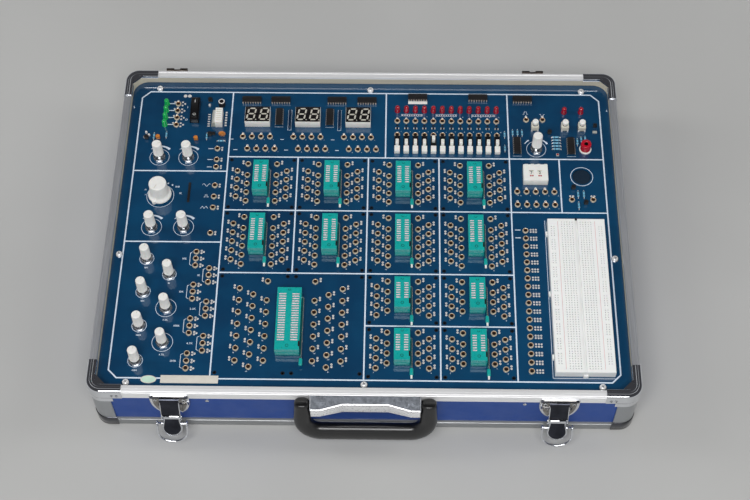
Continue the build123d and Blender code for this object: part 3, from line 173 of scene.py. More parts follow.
def board_material():
    """Deep blue glossy solder mask over fine copper runs."""
    n = Nodes("solder_mask")
    turned = n.node("ShaderNodeMapping")
    turned.inputs["Scale"].default_value = (394.0, 394.0, 1.0)
    n.link(n.where, turned.inputs["Vector"])
    bricks = n.node("ShaderNodeTexBrick")
    bricks.offset = 0.5
    for socket, value in (("Scale", 1.0), ("Mortar Size", 0.09), ("Mortar Smooth", 0.3), ("Brick Width", 9.0),
                          ("Row Height", 0.5)):
        bricks.inputs[socket].default_value = value
    n.link(turned.outputs["Vector"], bricks.inputs["Vector"])
    patches = n.spread(n.noise(38.0, 2.0), 0.0, 1.0, 0.47, 0.56)
    runs = n.maths("MULTIPLY", bricks.outputs["Fac"], patches)
    base = n.ramp(n.noise(9.0, 4.0), (0.3, linear(0, 50, 84)), (0.7, linear(0, 67, 105)))
    colour = n.mix(n.maths("MULTIPLY", runs, 0.55), base, linear(6, 74, 110))
    n.link(colour, n.shader.inputs["Base Color"])
    n.link(n.spread(n.noise(60.0), 0.30, 0.38), n.shader.inputs["Roughness"])
    n.shader.inputs["Specular IOR Level"].default_value = 0.3
    n.shader.inputs["Coat Weight"].default_value = 1.0
    n.shader.inputs["Coat Roughness"].default_value = 0.05
    n.shader.inputs["Coat IOR"].default_value = 1.7
    n.bump(n.maths("ADD", n.maths("MULTIPLY", runs, 0.5), n.noise(700.0, 2.0)), 0.012 * MM)
    return n.material


def brushed(name, colour, rough, along, vary=0.07, metal=1.0, line=1400.0, bump=0.004):
    """Drawn or brushed metal: fine lines along one axis."""
    stretch = [line / 25] * 3
    stretch["xyz".index(along)] = line / 900
    n = Nodes(name)
    lines = n.noise(25.0, 4.0, tuple(stretch))
    cloud = n.noise(14.0, 3.0)
    tone = n.mix(0.5, n.ramp(lines, (0.3, shade(colour, 1 - vary)), (0.7, shade(colour, 1 + vary))),
                 n.ramp(cloud, (0.3, shade(colour, 1 - vary * 0.7)), (0.7, shade(colour, 1 + vary * 0.7))))
    n.link(tone, n.shader.inputs["Base Color"])
    n.link(n.spread(lines, rough - 0.05, rough + 0.07), n.shader.inputs["Roughness"])
    n.shader.inputs["Metallic"].default_value = metal
    n.shader.inputs["Anisotropic"].default_value = 0.4
    n.bump(lines, bump * MM)
    return n.material


def spangled(name, colour):
    """Galvanised sheet: patches of crystals of uneven tone."""
    n = Nodes(name)
    crystals = n.node("ShaderNodeTexVoronoi")
    crystals.inputs["Scale"].default_value = 900.0
    n.link(n.where, crystals.inputs["Vector"])
    split = n.node("ShaderNodeSeparateColor")
    n.link(crystals.outputs["Color"], split.inputs[0])
    tone = n.mix(0.5, n.ramp(split.outputs[0], (0.1, shade(colour, 0.8)), (0.9, shade(colour, 1.2))),
                 n.ramp(n.noise(160.0, 4.0), (0.35, shade(colour, 0.6)), (0.65, shade(colour, 1.35))))
    n.link(tone, n.shader.inputs["Base Color"])
    n.link(n.spread(split.outputs[1], 0.28, 0.5, 0.0, 1.0), n.shader.inputs["Roughness"])
    n.shader.inputs["Metallic"].default_value = 0.8
    n.bump(n.noise(260.0, 3.0), 0.03 * MM)
    return n.material


def wood(name, colour):
    n = Nodes(name)
    grain = n.noise(40.0, 5.0, (0.4, 6.0, 6.0))
    fine = n.noise(600.0, 3.0, (0.3, 4.0, 4.0))
    tone = n.mix(0.4, n.ramp(grain, (0.3, shade(colour, 0.84)), (0.7, shade(colour, 1.1))),
                 n.ramp(fine, (0.3, shade(colour, 0.88)), (0.7, shade(colour, 1.08))))
    n.link(tone, n.shader.inputs["Base Color"])
    n.shader.inputs["Roughness"].default_value = 0.7
    n.bump(fine, 0.05 * MM)
    return n.material


def glow(name, colour, strength):
    """Clear tinted plastic with a little emission of its own colour: a painted glow in the lens."""
    n = Nodes(name)
    n.link(n.ramp(n.noise(400.0), (0.3, shade(colour, 0.8)), (0.7, shade(colour, 1.15))),
           n.shader.inputs["Base Color"])
    n.shader.inputs["Roughness"].default_value = 0.12
    n.shader.inputs["Transmission Weight"].default_value = 0.35
    n.shader.inputs["Coat Weight"].default_value = 0.6
    n.shader.inputs["Emission Color"].default_value = colour
    n.shader.inputs["Emission Strength"].default_value = strength
    return n.material


M = {
    "aluminium": brushed("satin_aluminium_x", linear(252, 252, 253), 0.42, "x", metal=0.42),
    # darker copy of the satin aluminium for the lower ring: painted shade
    "aluminium_low": brushed("satin_aluminium_low", linear(156, 158, 160), 0.36, "x", metal=0.75),
    "aluminium_z": brushed("satin_aluminium_z", linear(166, 169, 172), 0.36, "z", metal=0.8),
    "aluminium_y": brushed("satin_aluminium_y", linear(200, 202, 206), 0.38, "y", metal=0.72),
    "blue_board": finish("blue_board", linear(26, 70, 148), 0.4, vary=0.06, grain=30.0, bump=0.006,
                         bump_scale=1400.0, specular=0.3),
    "chrome": finish("chrome", linear(226, 228, 232), 0.07, metal=1.0, vary=0.03, grain=40.0, rough_vary=0.03),
    "dark_chrome": finish("dark_chrome", linear(84, 85, 90), 0.14, metal=1.0, vary=0.12, grain=60.0,
                          rough_vary=0.06, bump=0.01),
    # chrome darkened and mottled: a painted dark reflection where the chrome mirrors dark surroundings
    "smoked": finish("chrome_painted_dark_reflection", linear(58, 60, 68), 0.1, metal=1.0, vary=0.3, grain=90.0, rough_vary=0.05,
                     bump=0.05, bump_scale=120.0),
    "plate_chrome": finish("plate_chrome", linear(140, 136, 130), 0.12, metal=1.0, vary=0.35, grain=110.0,
                           rough_vary=0.06, bump=0.06, bump_scale=140.0),
    "bronze": finish("dark_hinge", linear(70, 64, 60), 0.34, metal=0.9, vary=0.2, grain=120.0),
    "zinc": spangled("zinc_sheet", linear(104, 106, 110)),
    "bracket_sheet": spangled("bracket_sheet", linear(70, 73, 78)),
    "bright": finish("bright_plating", linear(252, 252, 254), 0.3, metal=0.36, vary=0.05, grain=120.0,
                     rough_vary=0.06, bump=0.01),
    "steel": finish("bright_steel", linear(205, 207, 210), 0.2, metal=1.0, vary=0.06, grain=300.0),
    "black": finish("black_moulding", linear(15, 15, 16), 0.36, vary=0.2, grain=60.0, coat=0.5, coat_rough=0.22,
                    bump=0.01, bump_scale=500.0),
    "matt_black": finish("matt_black", linear(24, 24, 26), 0.5, vary=0.25, grain=200.0, bump=0.015),
    "board": board_material(),
    "ink": finish("printing_ink", linear(216, 228, 242), 0.5, vary=0.05, grain=500.0),
    "teal": finish("teal_moulding", linear(18, 164, 158), 0.3, vary=0.07, grain=120.0, coat=0.3, coat_rough=0.15,
                   bump=0.02, bump_scale=1500.0, subsurface=0.05),
    # darker copy of the socket teal: painted shade in slots, gaps and moulded marks
    "teal_dark": finish("teal_recess_shade", linear(8, 74, 70), 0.5, vary=0.1, grain=200.0),
    "gilt": finish("gilt", linear(244, 228, 202), 0.28, metal=0.55, vary=0.1, grain=500.0),
    "nickel": finish("tinned", linear(246, 242, 238), 0.34, metal=0.35, vary=0.05, grain=700.0),
    "leg": finish("chip_leg", linear(176, 168, 160), 0.36, metal=0.6, vary=0.12, grain=700.0),
    "copper": finish("bore_wall", linear(168, 104, 50), 0.4, metal=0.8, vary=0.2, grain=600.0),
    # near black: real black seams and figures, and painted shade on the floors and walls of holes and gaps
    "dark": finish("near_black_and_hole_shade", linear(14, 12, 12), 0.6, vary=0.2, grain=300.0),
    "white": finish("white_moulding", linear(238, 237, 232), 0.38, vary=0.03, grain=150.0, bump=0.02,
                    bump_scale=1300.0, subsurface=0.08),
    "cream": finish("cream_moulding", linear(214, 211, 196), 0.42, vary=0.05, grain=200.0, bump=0.02,
                    bump_scale=1300.0),
    "grey_knob": finish("off_white_knob", linear(234, 233, 229), 0.42, vary=0.04, grain=180.0, bump=0.025,
                        bump_scale=1200.0, subsurface=0.05),
    "breadboard": finish("breadboard_moulding", linear(242, 243, 241), 0.4, vary=0.02, grain=70.0, bump=0.02,
                         bump_scale=1500.0, subsurface=0.04),
    "chip": finish("chip_moulding", linear(30, 29, 30), 0.42, vary=0.2, grain=260.0, bump=0.03, bump_scale=2500.0),
    "face": finish("display_face", linear(22, 20, 21), 0.25, vary=0.12, grain=150.0, coat=0.5),
    "segment": finish("unlit_segment", linear(196, 192, 180), 0.35, vary=0.05, grain=300.0),
    "red_lens": glow("red_lens", linear(180, 12, 40), 0.06),
    "green_lens": glow("green_lens", linear(20, 168, 84), 0.22),
    "red": finish("red_moulding", linear(178, 14, 38), 0.24, vary=0.08, grain=200.0, coat=0.4),
    "resistor": finish("blue_resistor", linear(112, 178, 208), 0.35, vary=0.1, grain=400.0, coat=0.3),
    "band": finish("resistor_band", linear(60, 40, 30), 0.4, vary=0.2, grain=300.0),
    "ceramic": finish("orange_ceramic", linear(198, 122, 52), 0.38, vary=0.1, grain=300.0, coat=0.3),
    "grey": finish("grey_moulding", linear(168, 170, 164), 0.45, vary=0.06, grain=200.0, bump=0.02),
    "paper": finish("blank_label", linear(214, 210, 200), 0.6, vary=0.04, grain=160.0, bump=0.01),
    "green_paper": finish("blank_sticker", linear(196, 224, 206), 0.5, vary=0.05, grain=160.0),
    "wood": wood("plain_board", linear(178, 160, 128)),
    "lining": wood("pale_lining", linear(206, 200, 182)),
    "blue_part": finish("blue_network", linear(6, 34, 62), 0.3, vary=0.15, grain=300.0, coat=0.4),
    "mesh": finish("speaker_cloth", linear(0, 30, 50), 0.75, vary=0.25, grain=900.0, bump=0.12,
                   bump_scale=2200.0),
    "cone": finish("speaker_cone", linear(18, 24, 32), 0.7, vary=0.25, grain=500.0, bump=0.05),
}


# ---------------------------------------------------------------- shapes as (points, faces, material keys)
def rounded_box(size, at=(0, 0, 0), edge=0.3, segments=2, mat="white", only_top=False):
    """Box with its foot centred on `at`, edges rounded."""
    bm = bmesh.new()
    bmesh.ops.create_cube(bm, size=1.0)
    for v in bm.verts:
        v.co = Vector((v.co.x * size[0], v.co.y * size[1], (v.co.z + 0.5) * size[2]))
    if edge:
        edges = bm.edges[:]
        if only_top:
            edges = [e for e in edges if max(v.co.z for v in e.verts) > size[2] / 2]
        bmesh.ops.bevel(bm, geom=edges, offset=edge, segments=segments, affect="EDGES", profile=0.5)
    return from_bmesh(bm, at, mat)


def from_bmesh(bm, at, mat):
    bm.verts.ensure_lookup_table()
    points = np.array([v.co[:] for v in bm.verts]) + np.array(at, float)
    faces = [tuple(v.index for v in f.verts) for f in bm.faces]
    bm.free()
    return points, faces, [mat] * len(faces)


def lathe(profile, segments=24, mats="white", at=(0, 0, 0), flutes=0, depth=0.0, fluted=()):
    """Turned shape from (radius, height) points. `mats` is one key, or one for each run of the profile.
    Rings whose index is in `fluted` have grooves."""
    if isinstance(mats, str):
        mats = [mats] * (len(profile) - 1)
    points, rings = [], []
    for index, (radius, height) in enumerate(profile):
        if radius < 1e-6:
            rings.append([len(points)])
            points.append((0, 0, height))
            continue
        ring = []
        for step in range(segments):
            turn = 2 * pi * step / segments
            r = radius
            if index in fluted:
                r -= depth * (0.5 + 0.5 * cos(flutes * turn))
            ring.append(len(points))
            points.append((r * cos(turn), r * sin(turn), height))
        rings.append(ring)
    faces, keys = [], []
    for a, b, key in zip(rings, rings[1:], mats):
        for step in range(segments):
            nxt = (step + 1) % segments
            if len(a) == 1 and len(b) == 1:
                continue
            if len(a) == 1:
                faces.append((a[0], b[nxt], b[step]))
            elif len(b) == 1:
                faces.append((a[step], a[nxt], b[0]))
            else:
                faces.append((a[step], a[nxt], b[nxt], b[step]))
            keys.append(key)
    return np.array(points) + np.array(at, float), faces, keys


def tube(path, radius, segments=10, mat="steel", closed=False):
    """Round bar along a list of points, with capped ends. `radius` may be a list."""
    path = [Vector(p) for p in path]
    radii = radius if isinstance(radius, (list, tuple)) else [radius] * len(path)
    points, faces = [], []
    normal = None
    count = len(path)
    for index, here in enumerate(path):
        before = path[index - 1] if index or closed else here
        after = path[(index + 1) % count] if index < count - 1 or closed else here
        tangent = (after - before).normalized()
        if normal is None:
            normal = tangent.orthogonal().normalized()
        normal = (normal - tangent * normal.dot(tangent)).normalized()
        side = tangent.cross(normal)
        for step in range(segments):
            turn = 2 * pi * step / segments
            points.append(here + (normal * cos(turn) + side * sin(turn)) * radii[index])
    runs = count if closed else count - 1
    for index in range(runs):
        a, b = index * segments, ((index + 1) % count) * segments
        for step in range(segments):
            nxt = (step + 1) % segments
            faces.append((a + step, a + nxt, b + nxt, b + step))
    if not closed:
        faces.append(tuple(reversed(range(segments))))
        faces.append(tuple(range((count - 1) * segments, count * segments)))
    return np.array([p[:] for p in points]), faces, [mat] * len(faces)


def prism(outline, low, high, mat="white", top=None):
    """Upright prism on a plan outline given anticlockwise."""
    count = len(outline)
    points = [(x, y, low) for x, y in outline] + [(x, y, high) for x, y in outline]
    faces = [tuple(reversed(range(count))), tuple(range(count, 2 * count))]
    keys = [mat, top or mat]
    for i in range(count):
        j = (i + 1) % count
        faces.append((i, j, count + j, count + i))
        keys.append(mat)
    return np.array(points, float), faces, keys


STEP = [0]


def strip(points, width, height=None, mat="ink", closed=False):
    """Flat printed line along plan points, mitred at its corners. Lines that cross lie a little apart."""
    if height is None:
        STEP[0] = (STEP[0] + 1) % 23
        height = INK + 0.005 * STEP[0]
    count = len(points)
    verts, faces = [], []
    for i, (x, y) in enumerate(points):
        before = points[i - 1] if i or closed else None
        after = points[(i + 1) % count] if i < count - 1 or closed else None
        normals = []
        for a, b in ((before, (x, y)), ((x, y), after)):
            if a is None or b is None:
                continue
            dx, dy = b[0] - a[0], b[1] - a[1]
            size = sqrt(dx * dx + dy * dy)
            normals.append((-dy / size, dx / size))
        nx = sum(n[0] for n in normals) / len(normals)
        ny = sum(n[1] for n in normals) / len(normals)
        scale = width / 2 / max(0.3, nx * nx + ny * ny)
        verts += [(x + nx * scale, y + ny * scale, height), (x - nx * scale, y - ny * scale, height)]
    for i in range(count if closed else count - 1):
        a, b = 2 * i, 2 * ((i + 1) % count)
        faces.append((a, a + 1, b + 1, b))
    return np.array(verts, float), faces, [mat] * len(faces)


def arc_points(cx, cy, radius, start=0.0, end=360.0, steps=48):
    return [(cx + radius * cos(radians(start + (end - start) * i / steps)),
             cy + radius * sin(radians(start + (end - start) * i / steps))) for i in range(steps + 1)]


def circle_line(cx, cy, radius, width=0.45):
    return strip(arc_points(cx, cy, radius)[:-1], width, closed=True)


def swelling_arc(cx, cy, radius, start, end, first, last, steps=18):
    """Printed arc that swells from one width to another."""
    verts, faces = [], []
    for i in range(steps + 1):
        turn = radians(start + (end - start) * i / steps)
        half = (first + (last - first) * i / steps) / 2
        for r in (radius + half, radius - half):
            verts.append((cx + r * cos(turn), cy + r * sin(turn), INK))
    for i in range(steps):
        faces.append((2 * i, 2 * i + 1, 2 * i + 3, 2 * i + 2))
    return np.array(verts), faces, ["ink"] * len(faces)


def disc(cx, cy, radius, height=INK, mat="ink", steps=20, squash=1.0):
    verts = [(cx + radius * cos(2 * pi * i / steps), cy + radius * squash * sin(2 * pi * i / steps), height)
             for i in range(steps)]
    return np.array(verts), [tuple(range(steps))], [mat]


def case_path(first, last, steps=10):
    """Outward directions and centres round the case's outline: a list of (centre, direction)."""
    stations = []
    for corner in range(first, last):
        cx = (CASE_X - CASE_R) * (1 if corner % 4 in (0, 3) else -1)
        cy = (CASE_Y - CASE_R) * (1 if corner % 4 in (0, 1) else -1)
        for step in range(steps + 1):
            turn = radians(90 * corner + 90 * step / steps)
            stations.append(((cx, cy), (cos(turn), sin(turn))))
    return stations


def swept_ring(profile, mat):
    """Closed sweep of an (inset, height) profile round the case."""
    stations = case_path(0, 4)
    points, faces, keys = sweep_stations(stations, profile, mat, True)
    if mat.startswith("aluminium"):
        k = len(profile)
        for i in range(len(stations)):
            if abs(stations[i][1][0]) > 0.75 and abs(stations[(i + 1) % len(stations)][1][0]) > 0.75:
                keys[i * k:(i + 1) * k] = ["aluminium_y"] * k
    return points, faces, keys


def sweep_stations(stations, profile, mat, closed):
    points, faces = [], []
    k = len(profile)
    for (cx, cy), (nx, ny) in stations:
        for inset, height in profile:
            r = CASE_R - inset
            points.append((cx + nx * r, cy + ny * r, height))
    runs = len(stations) if closed else len(stations) - 1
    for i in range(runs):
        a, b = i * k, ((i + 1) % len(stations)) * k
        for j in range(k):
            nxt = (j + 1) % k
            faces.append((a + j, b + j, b + nxt, a + nxt))
    if not closed:
        faces.append(tuple(range(k)))
        faces.append(tuple(reversed(range((len(stations) - 1) * k, len(stations) * k))))
    return np.array(points), faces, [mat] * len(faces)


def corner_sweep(corner, leg, profile, mat, steps=10):
    """Sweep of a profile round one corner and a leg along each side."""
    stations = case_path(corner, corner + 1, steps)
    run = leg - CASE_R
    (c0, n0), (c1, n1) = stations[0], stations[-1]
    before = (c0[0] + n1[0] * -run, c0[1] + n1[1] * -run)
    after = (c1[0] + n0[0] * -run, c1[1] + n0[1] * -run)
    stations = [(before, n0)] + stations + [(after, n1)]
    return sweep_stations(stations, profile, mat, False)


class Piece:
    """Collects shapes and becomes one Blender object."""

    def __init__(self, name):
        self.name = name
        self.points, self.faces, self.keys = [], [], []
        self.count = 0

    def add(self, shape, at=(0, 0, 0), turn=0.0, scale=1.0, matrix=None, mat=None):
        points, faces, keys = shape
        points = np.asarray(points, float) * scale
        if matrix is not None:
            points = points @ np.array(matrix)[:3, :3].T + np.array(matrix)[:3, 3]
        if turn:
            c, s = cos(radians(turn)), sin(radians(turn))
            points = points @ np.array([[c, s, 0], [-s, c, 0], [0, 0, 1]])
        self.points.append(points + np.array(at, float))
        start = self.count
        self.faces += [tuple(i + start for i in f) for f in faces]
        self.keys += [mat or k for k in keys]
        self.count += len(points)
        return self

    def make(self, body="case", slot=None, replaces=(), smooth=35.0, bevel=0.0):
        mesh = bpy.data.meshes.new(self.name)
        mesh.from_pydata((np.vstack(self.points) * MM).tolist(), [], self.faces)
        used = sorted(set(self.keys))
        for key in used:
            mesh.materials.append(M[key])
        mesh.polygons.foreach_set("material_index", [used.index(k) for k in self.keys])
        mesh.validate()
        obj = bpy.data.objects.new(self.name, mesh)
        bpy.context.scene.collection.objects.link(obj)
        mesh.shade_smooth()
        mesh.set_sharp_from_angle(angle=radians(smooth))
        if bevel:
            rounding = obj.modifiers.new("rounding", "BEVEL")
            rounding.width = bevel * MM
            rounding.segments = 2
            rounding.limit_method = "ANGLE"
            rounding.angle_limit = radians(40)
            rounding.harden_normals = True
        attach(obj, body)
        if replaces:
            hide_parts(*replaces)
        return obj


def dress(node, key):
    """Give a CAD node that keeps its shape a finished material."""
    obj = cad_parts[node]
    obj.data.materials.clear()
    obj.data.materials.append(M[key])


# ---------------------------------------------------------------- plain figures
GLYPHS = {}


def glyph(char):
    """Flat figure of height about 1, and its width."""
    if char not in GLYPHS:
        curve = bpy.data.curves.new("figure", "FONT")
        curve.body = char
        curve.resolution_u = 2
        curve.offset = 0.018
        holder = bpy.data.objects.new("figure", curve)
        bpy.context.scene.collection.objects.link(holder)
        bpy.context.view_layer.update()
        mesh = bpy.data.meshes.new_from_object(holder.evaluated_get(bpy.context.evaluated_depsgraph_get()))
        points = np.array([v.co[:] for v in mesh.vertices]).reshape(-1, 3)
        faces = [tuple(p.vertices) for p in mesh.polygons]
        bpy.data.objects.remove(holder)
        bpy.data.meshes.remove(mesh)
        low, high = points[:, 0].min(), points[:, 0].max()
        points[:, 0] -= low
        GLYPHS[char] = (points, faces, high - low)
    return GLYPHS[char]


def write(piece, text, x, y, size, height=INK, mat="ink", matrix=None):
    """Centred plain figures on a flat face."""
    widths = [glyph(c)[2] if c != " " else 0.3 for c in text]
    gap = 0.12
    cursor = -(sum(widths) + gap * (len(text) - 1)) / 2
    for char, width in zip(text, widths):
        if char != " ":
            points, faces, _ = glyph(char)
            flat = points.copy()
            flat[:, 0] += cursor
            flat[:, 1] -= 0.35
            flat[:, :2] *= size
            if matrix is None:
                flat += np.array([x, y, height])
                piece.add((flat, faces, [mat] * len(faces)))
            else:
                piece.add((flat, faces, [mat] * len(faces)), matrix=matrix)
        cursor += width + gap


# ================================================================ case
rim = Piece("rim_section")
rim.add(swept_ring([(0, 55.2), (0, 64.7), (0.45, 65.0), (0.45, 65.7), (0, 66.0), (0.05, 66.7), (0.35, 67.25),
                    (0.9, 67.5), (2.3, 67.5), (2.6, 67.2), (3.1, 67.2), (3.4, 67.5), (6.2, 67.5), (6.75, 67.3),
                    (7.0, 66.8), (7.0, 64.5), (5.8, 64.5), (5.8, 66.3), (1.2, 66.3), (1.2, 55.2)], "aluminium"))
for sx in (-1, 1):
    for sy in (-1, 1):
        # fine seam of each mitre
        a = (sx * (CASE_X - 3.9), sy * (CASE_Y - 3.9))
        b = (sx * (CASE_X - 7.2), sy * (CASE_Y - 7.2))
        rim.add(strip([a, b], 0.25, 67.53, "dark"))
rim.make("case", "aluminium", ["upper_frame"])

lower = Piece("lower_section_and_posts")
# lower ring in the darker copy of the aluminium: painted shade
lower.add(swept_ring([(0, 0.5), (0, 9.6), (0.35, 9.8), (0.35, 10.4), (0, 10.6), (0, 12.6), (0.4, 13.1), (1.2, 13.1),
                      (1.2, 1.2), (5.6, 1.2), (5.6, 0), (0.6, 0)], "aluminium_low"))
for corner in range(4):
    lower.add(corner_sweep(corner, 20.0, [(0.0, 13.3), (0.0, 55.0), (0.3, 55.15), (1.2, 55.15), (1.2, 13.2),
                                          (0.3, 13.2)], "aluminium_z"))
    for inset in (19.3,):
        lower.add(corner_sweep(corner, inset, [(-0.12, 13.4), (-0.12, 55.0), (0.05, 55.0), (0.05, 13.4)],
                               "aluminium_z"))
lower.make("case", "aluminium", ["lower_frame"])

dress("side_panels", "blue_board")
dress("base_board", "wood")
dress("lining_ledge", "lining")
dress("power_supply", "zinc")
dress("hinge_halves", "bronze")
dress("circuit_board", "board")

caps = Piece("corner_caps_dressed")
top_profile = [(-0.8, 55.6), (-0.8, 66.3), (-0.62, 67.2), (-0.1, 67.95), (0.8, 68.3), (2.4, 68.3), (2.75, 68.68),
               (3.6, 68.8), (4.45, 68.68), (4.8, 68.3), (6.7, 68.3), (7.35, 68.05), (7.75, 67.4), (7.75, 64.6),
               (7.05, 64.6), (7.05, 67.52), (0.02, 67.52), (-0.05, 67.3), (-0.05, 55.6)]
for corner in range(4):
    caps.add(corner_sweep(corner, 32.0, top_profile, "chrome", 14))
    caps.add(corner_sweep(corner, 23.0, [(-0.8, 49.2), (-0.8, 56.0), (-0.05, 56.0), (-0.05, 49.2)], "chrome", 14))
    caps.add(corner_sweep(corner, 21.0, [(-0.3, 0.0), (-0.8, 0.8), (-0.8, 13.2), (-0.55, 13.9), (-0.05, 14.1),
                                         (-0.05, 0.0)], "dark_chrome", 14))
    sx = 1 if corner in (0, 3) else -1
    sy = 1 if corner < 2 else -1
    x0, y0 = sx * (CASE_X - 7.7), sy * (CASE_Y - 7.7)
    web = [(x0, y0), (x0 - sx * 9.4, y0), (x0, y0 - sy * 9.4)]
    if sx * sy < 0:
        web.reverse()
    caps.add(prism(web, 67.55, 68.25, "chrome"))
# near-black centre of the hollow rivet: painted shade in its hole
rivet = lathe([(0, 0), (1.5, 0), (1.45, 0.35), (1.1, 0.6), (0.6, 0.7), (0.55, 0.25), (0, 0.2)], 16,
              ["steel", "steel", "steel", "steel", "dark", "dark"])
face_front = Matrix.Rotation(radians(90), 4, "X")
for sx in (-1, 1):
    for x, z in ((CASE_X - 23.0, 60.0), (CASE_X - 27.4, 60.0)):
        caps.add(rivet, (sx * x, -CASE_Y - 0.8, z), matrix=face_front)
caps.make("case", "chrome", ["corner_caps"])

trim = Piece("panel_rivets")
for x in (-141.8, 145.9):
    trim.add(lathe([(0, 0), (1.9, 0), (1.75, 0.4), (1.1, 0.75), (0, 0.85)], 18, "steel"),
             (x, -CASE_Y + 1.4, 48.0), matrix=face_front)
hinge_pin = lathe([(0, -10.5), (1.2, -10.5), (1.2, 10.5), (0, 10.5)], 14, "bronze")
for x in (50.6 - CASE_X, CASE_X - 83.2):
    trim.add(hinge_pin, (x, CASE_Y + 2.4, 64.9), matrix=Matrix.Rotation(radians(90), 4, "Y"))
trim.make("case", "chrome")

# ================================================================ catches
PIVOT_Y, PIVOT_Z = -189.6, 31.0
CATCHES = {"left": -175.2, "right": 176.6}


def half_oval_plate(half, foot, shoulder, top, steps=22):
    outline = [(half, shoulder), (half, top - 1.5), (half - 1.5, top), (-half + 1.5, top), (-half, top - 1.5),
               (-half, shoulder)]
    for i in range(1, steps):
        turn = pi + pi * i / steps
        outline.append((half * cos(turn), shoulder + (shoulder - foot) * sin(turn)))
    return outline


def upright(outline, x, y_back, y_front, mat):
    """Plate in an X-Z plane from an (x, z) outline."""
    points, faces, keys = prism(outline, 0, y_back - y_front, mat)
    turned = np.stack([points[:, 0] + x, y_back - points[:, 2], points[:, 1]], axis=1)
    return turned, faces, keys


plates = Piece("catch_plates_dressed")
for x in CATCHES.values():
    outer = half_oval_plate(18.0, 24.0, 52.0, 62.0)
    plates.add(upright(outer, x, -183.05, -183.9, "chrome"))
    rimmed = [(px * 0.86, 24.0 + (pz - 24.0) * 0.93 + 1.6) for px, pz in outer]
    plates.add(upright(rimmed, x, -183.7, -184.45, "plate_chrome"))
    # arched bridge over the lever's eye: two cheeks and a sloping front, the front in darkened chrome as a painted
    # dark reflection
    cheek = [(-184.3, 57.0), (-186.0, 56.6), (-192.2, 37.4), (-193.0, 33.5), (-192.8, 29.5), (-190.6, 27.6),
             (-187.6, 28.2), (-184.3, 31.0)]
    for side in (-1, 1):
        cx = x + side * 8.5
        points, faces, keys = prism(cheek, -0.55, 0.55, "chrome")
        plates.add((np.stack([points[:, 2] + cx, points[:, 0], points[:, 1]], axis=1), faces, keys))
    front = [(-185.0, 57.4), (-186.2, 56.9), (-188.7, 49.2), (-192.1, 38.6), (-191.2, 38.2), (-187.9, 48.4),
             (-185.3, 56.2)]
    points, faces, keys = prism(front, -8.9, 8.9, "smoked")
    plates.add((np.stack([points[:, 2] + x, points[:, 0], points[:, 1]], axis=1), faces, keys))
    pin = lathe([(0, -9.6), (1.1, -9.6), (1.2, -9.3), (1.2, 9.3), (1.1, 9.6), (0, 9.6)], 16, "steel")
    plates.add(pin, (x, PIVOT_Y, PIVOT_Z), matrix=Matrix.Rotation(radians(90), 4, "Y"))
    for px in (-8.5, 8.5):
        # rolled bright edge of each cheek
        plates.add(tube([(x + px, -185.6, 56.9), (x + px, -188.6, 48.8), (x + px, -191.8, 38.0),
                         (x + px, -192.5, 33.0), (x + px, -192.1, 29.2)], 0.5, 8, "chrome"))
    for px in (-13.0, 13.0):
        plates.add(rivet, (x + px, -184.4, 54.0), scale=1.25, matrix=face_front)
    plates.add(rivet, (x, -184.4, 27.2), scale=1.0, matrix=face_front)
    # pressed step along the plate's upper edge, a strip of darkened chrome as a painted dark reflection
    plates.add(upright([(17.2, 57.6), (17.2, 60.6), (-17.2, 60.6), (-17.2, 57.6)], x, -184.3, -184.9, "smoked"))
plates.make("case", "chrome", ["catch_plates"], bevel=0.25)


def leaning(x, y, z, angle):
    """Local frame at a pivot: X across, Y out of the leaning plate, Z up along it."""
    return Matrix.Translation((x, y, z)) @ Matrix.Rotation(radians(-angle), 4, "X")


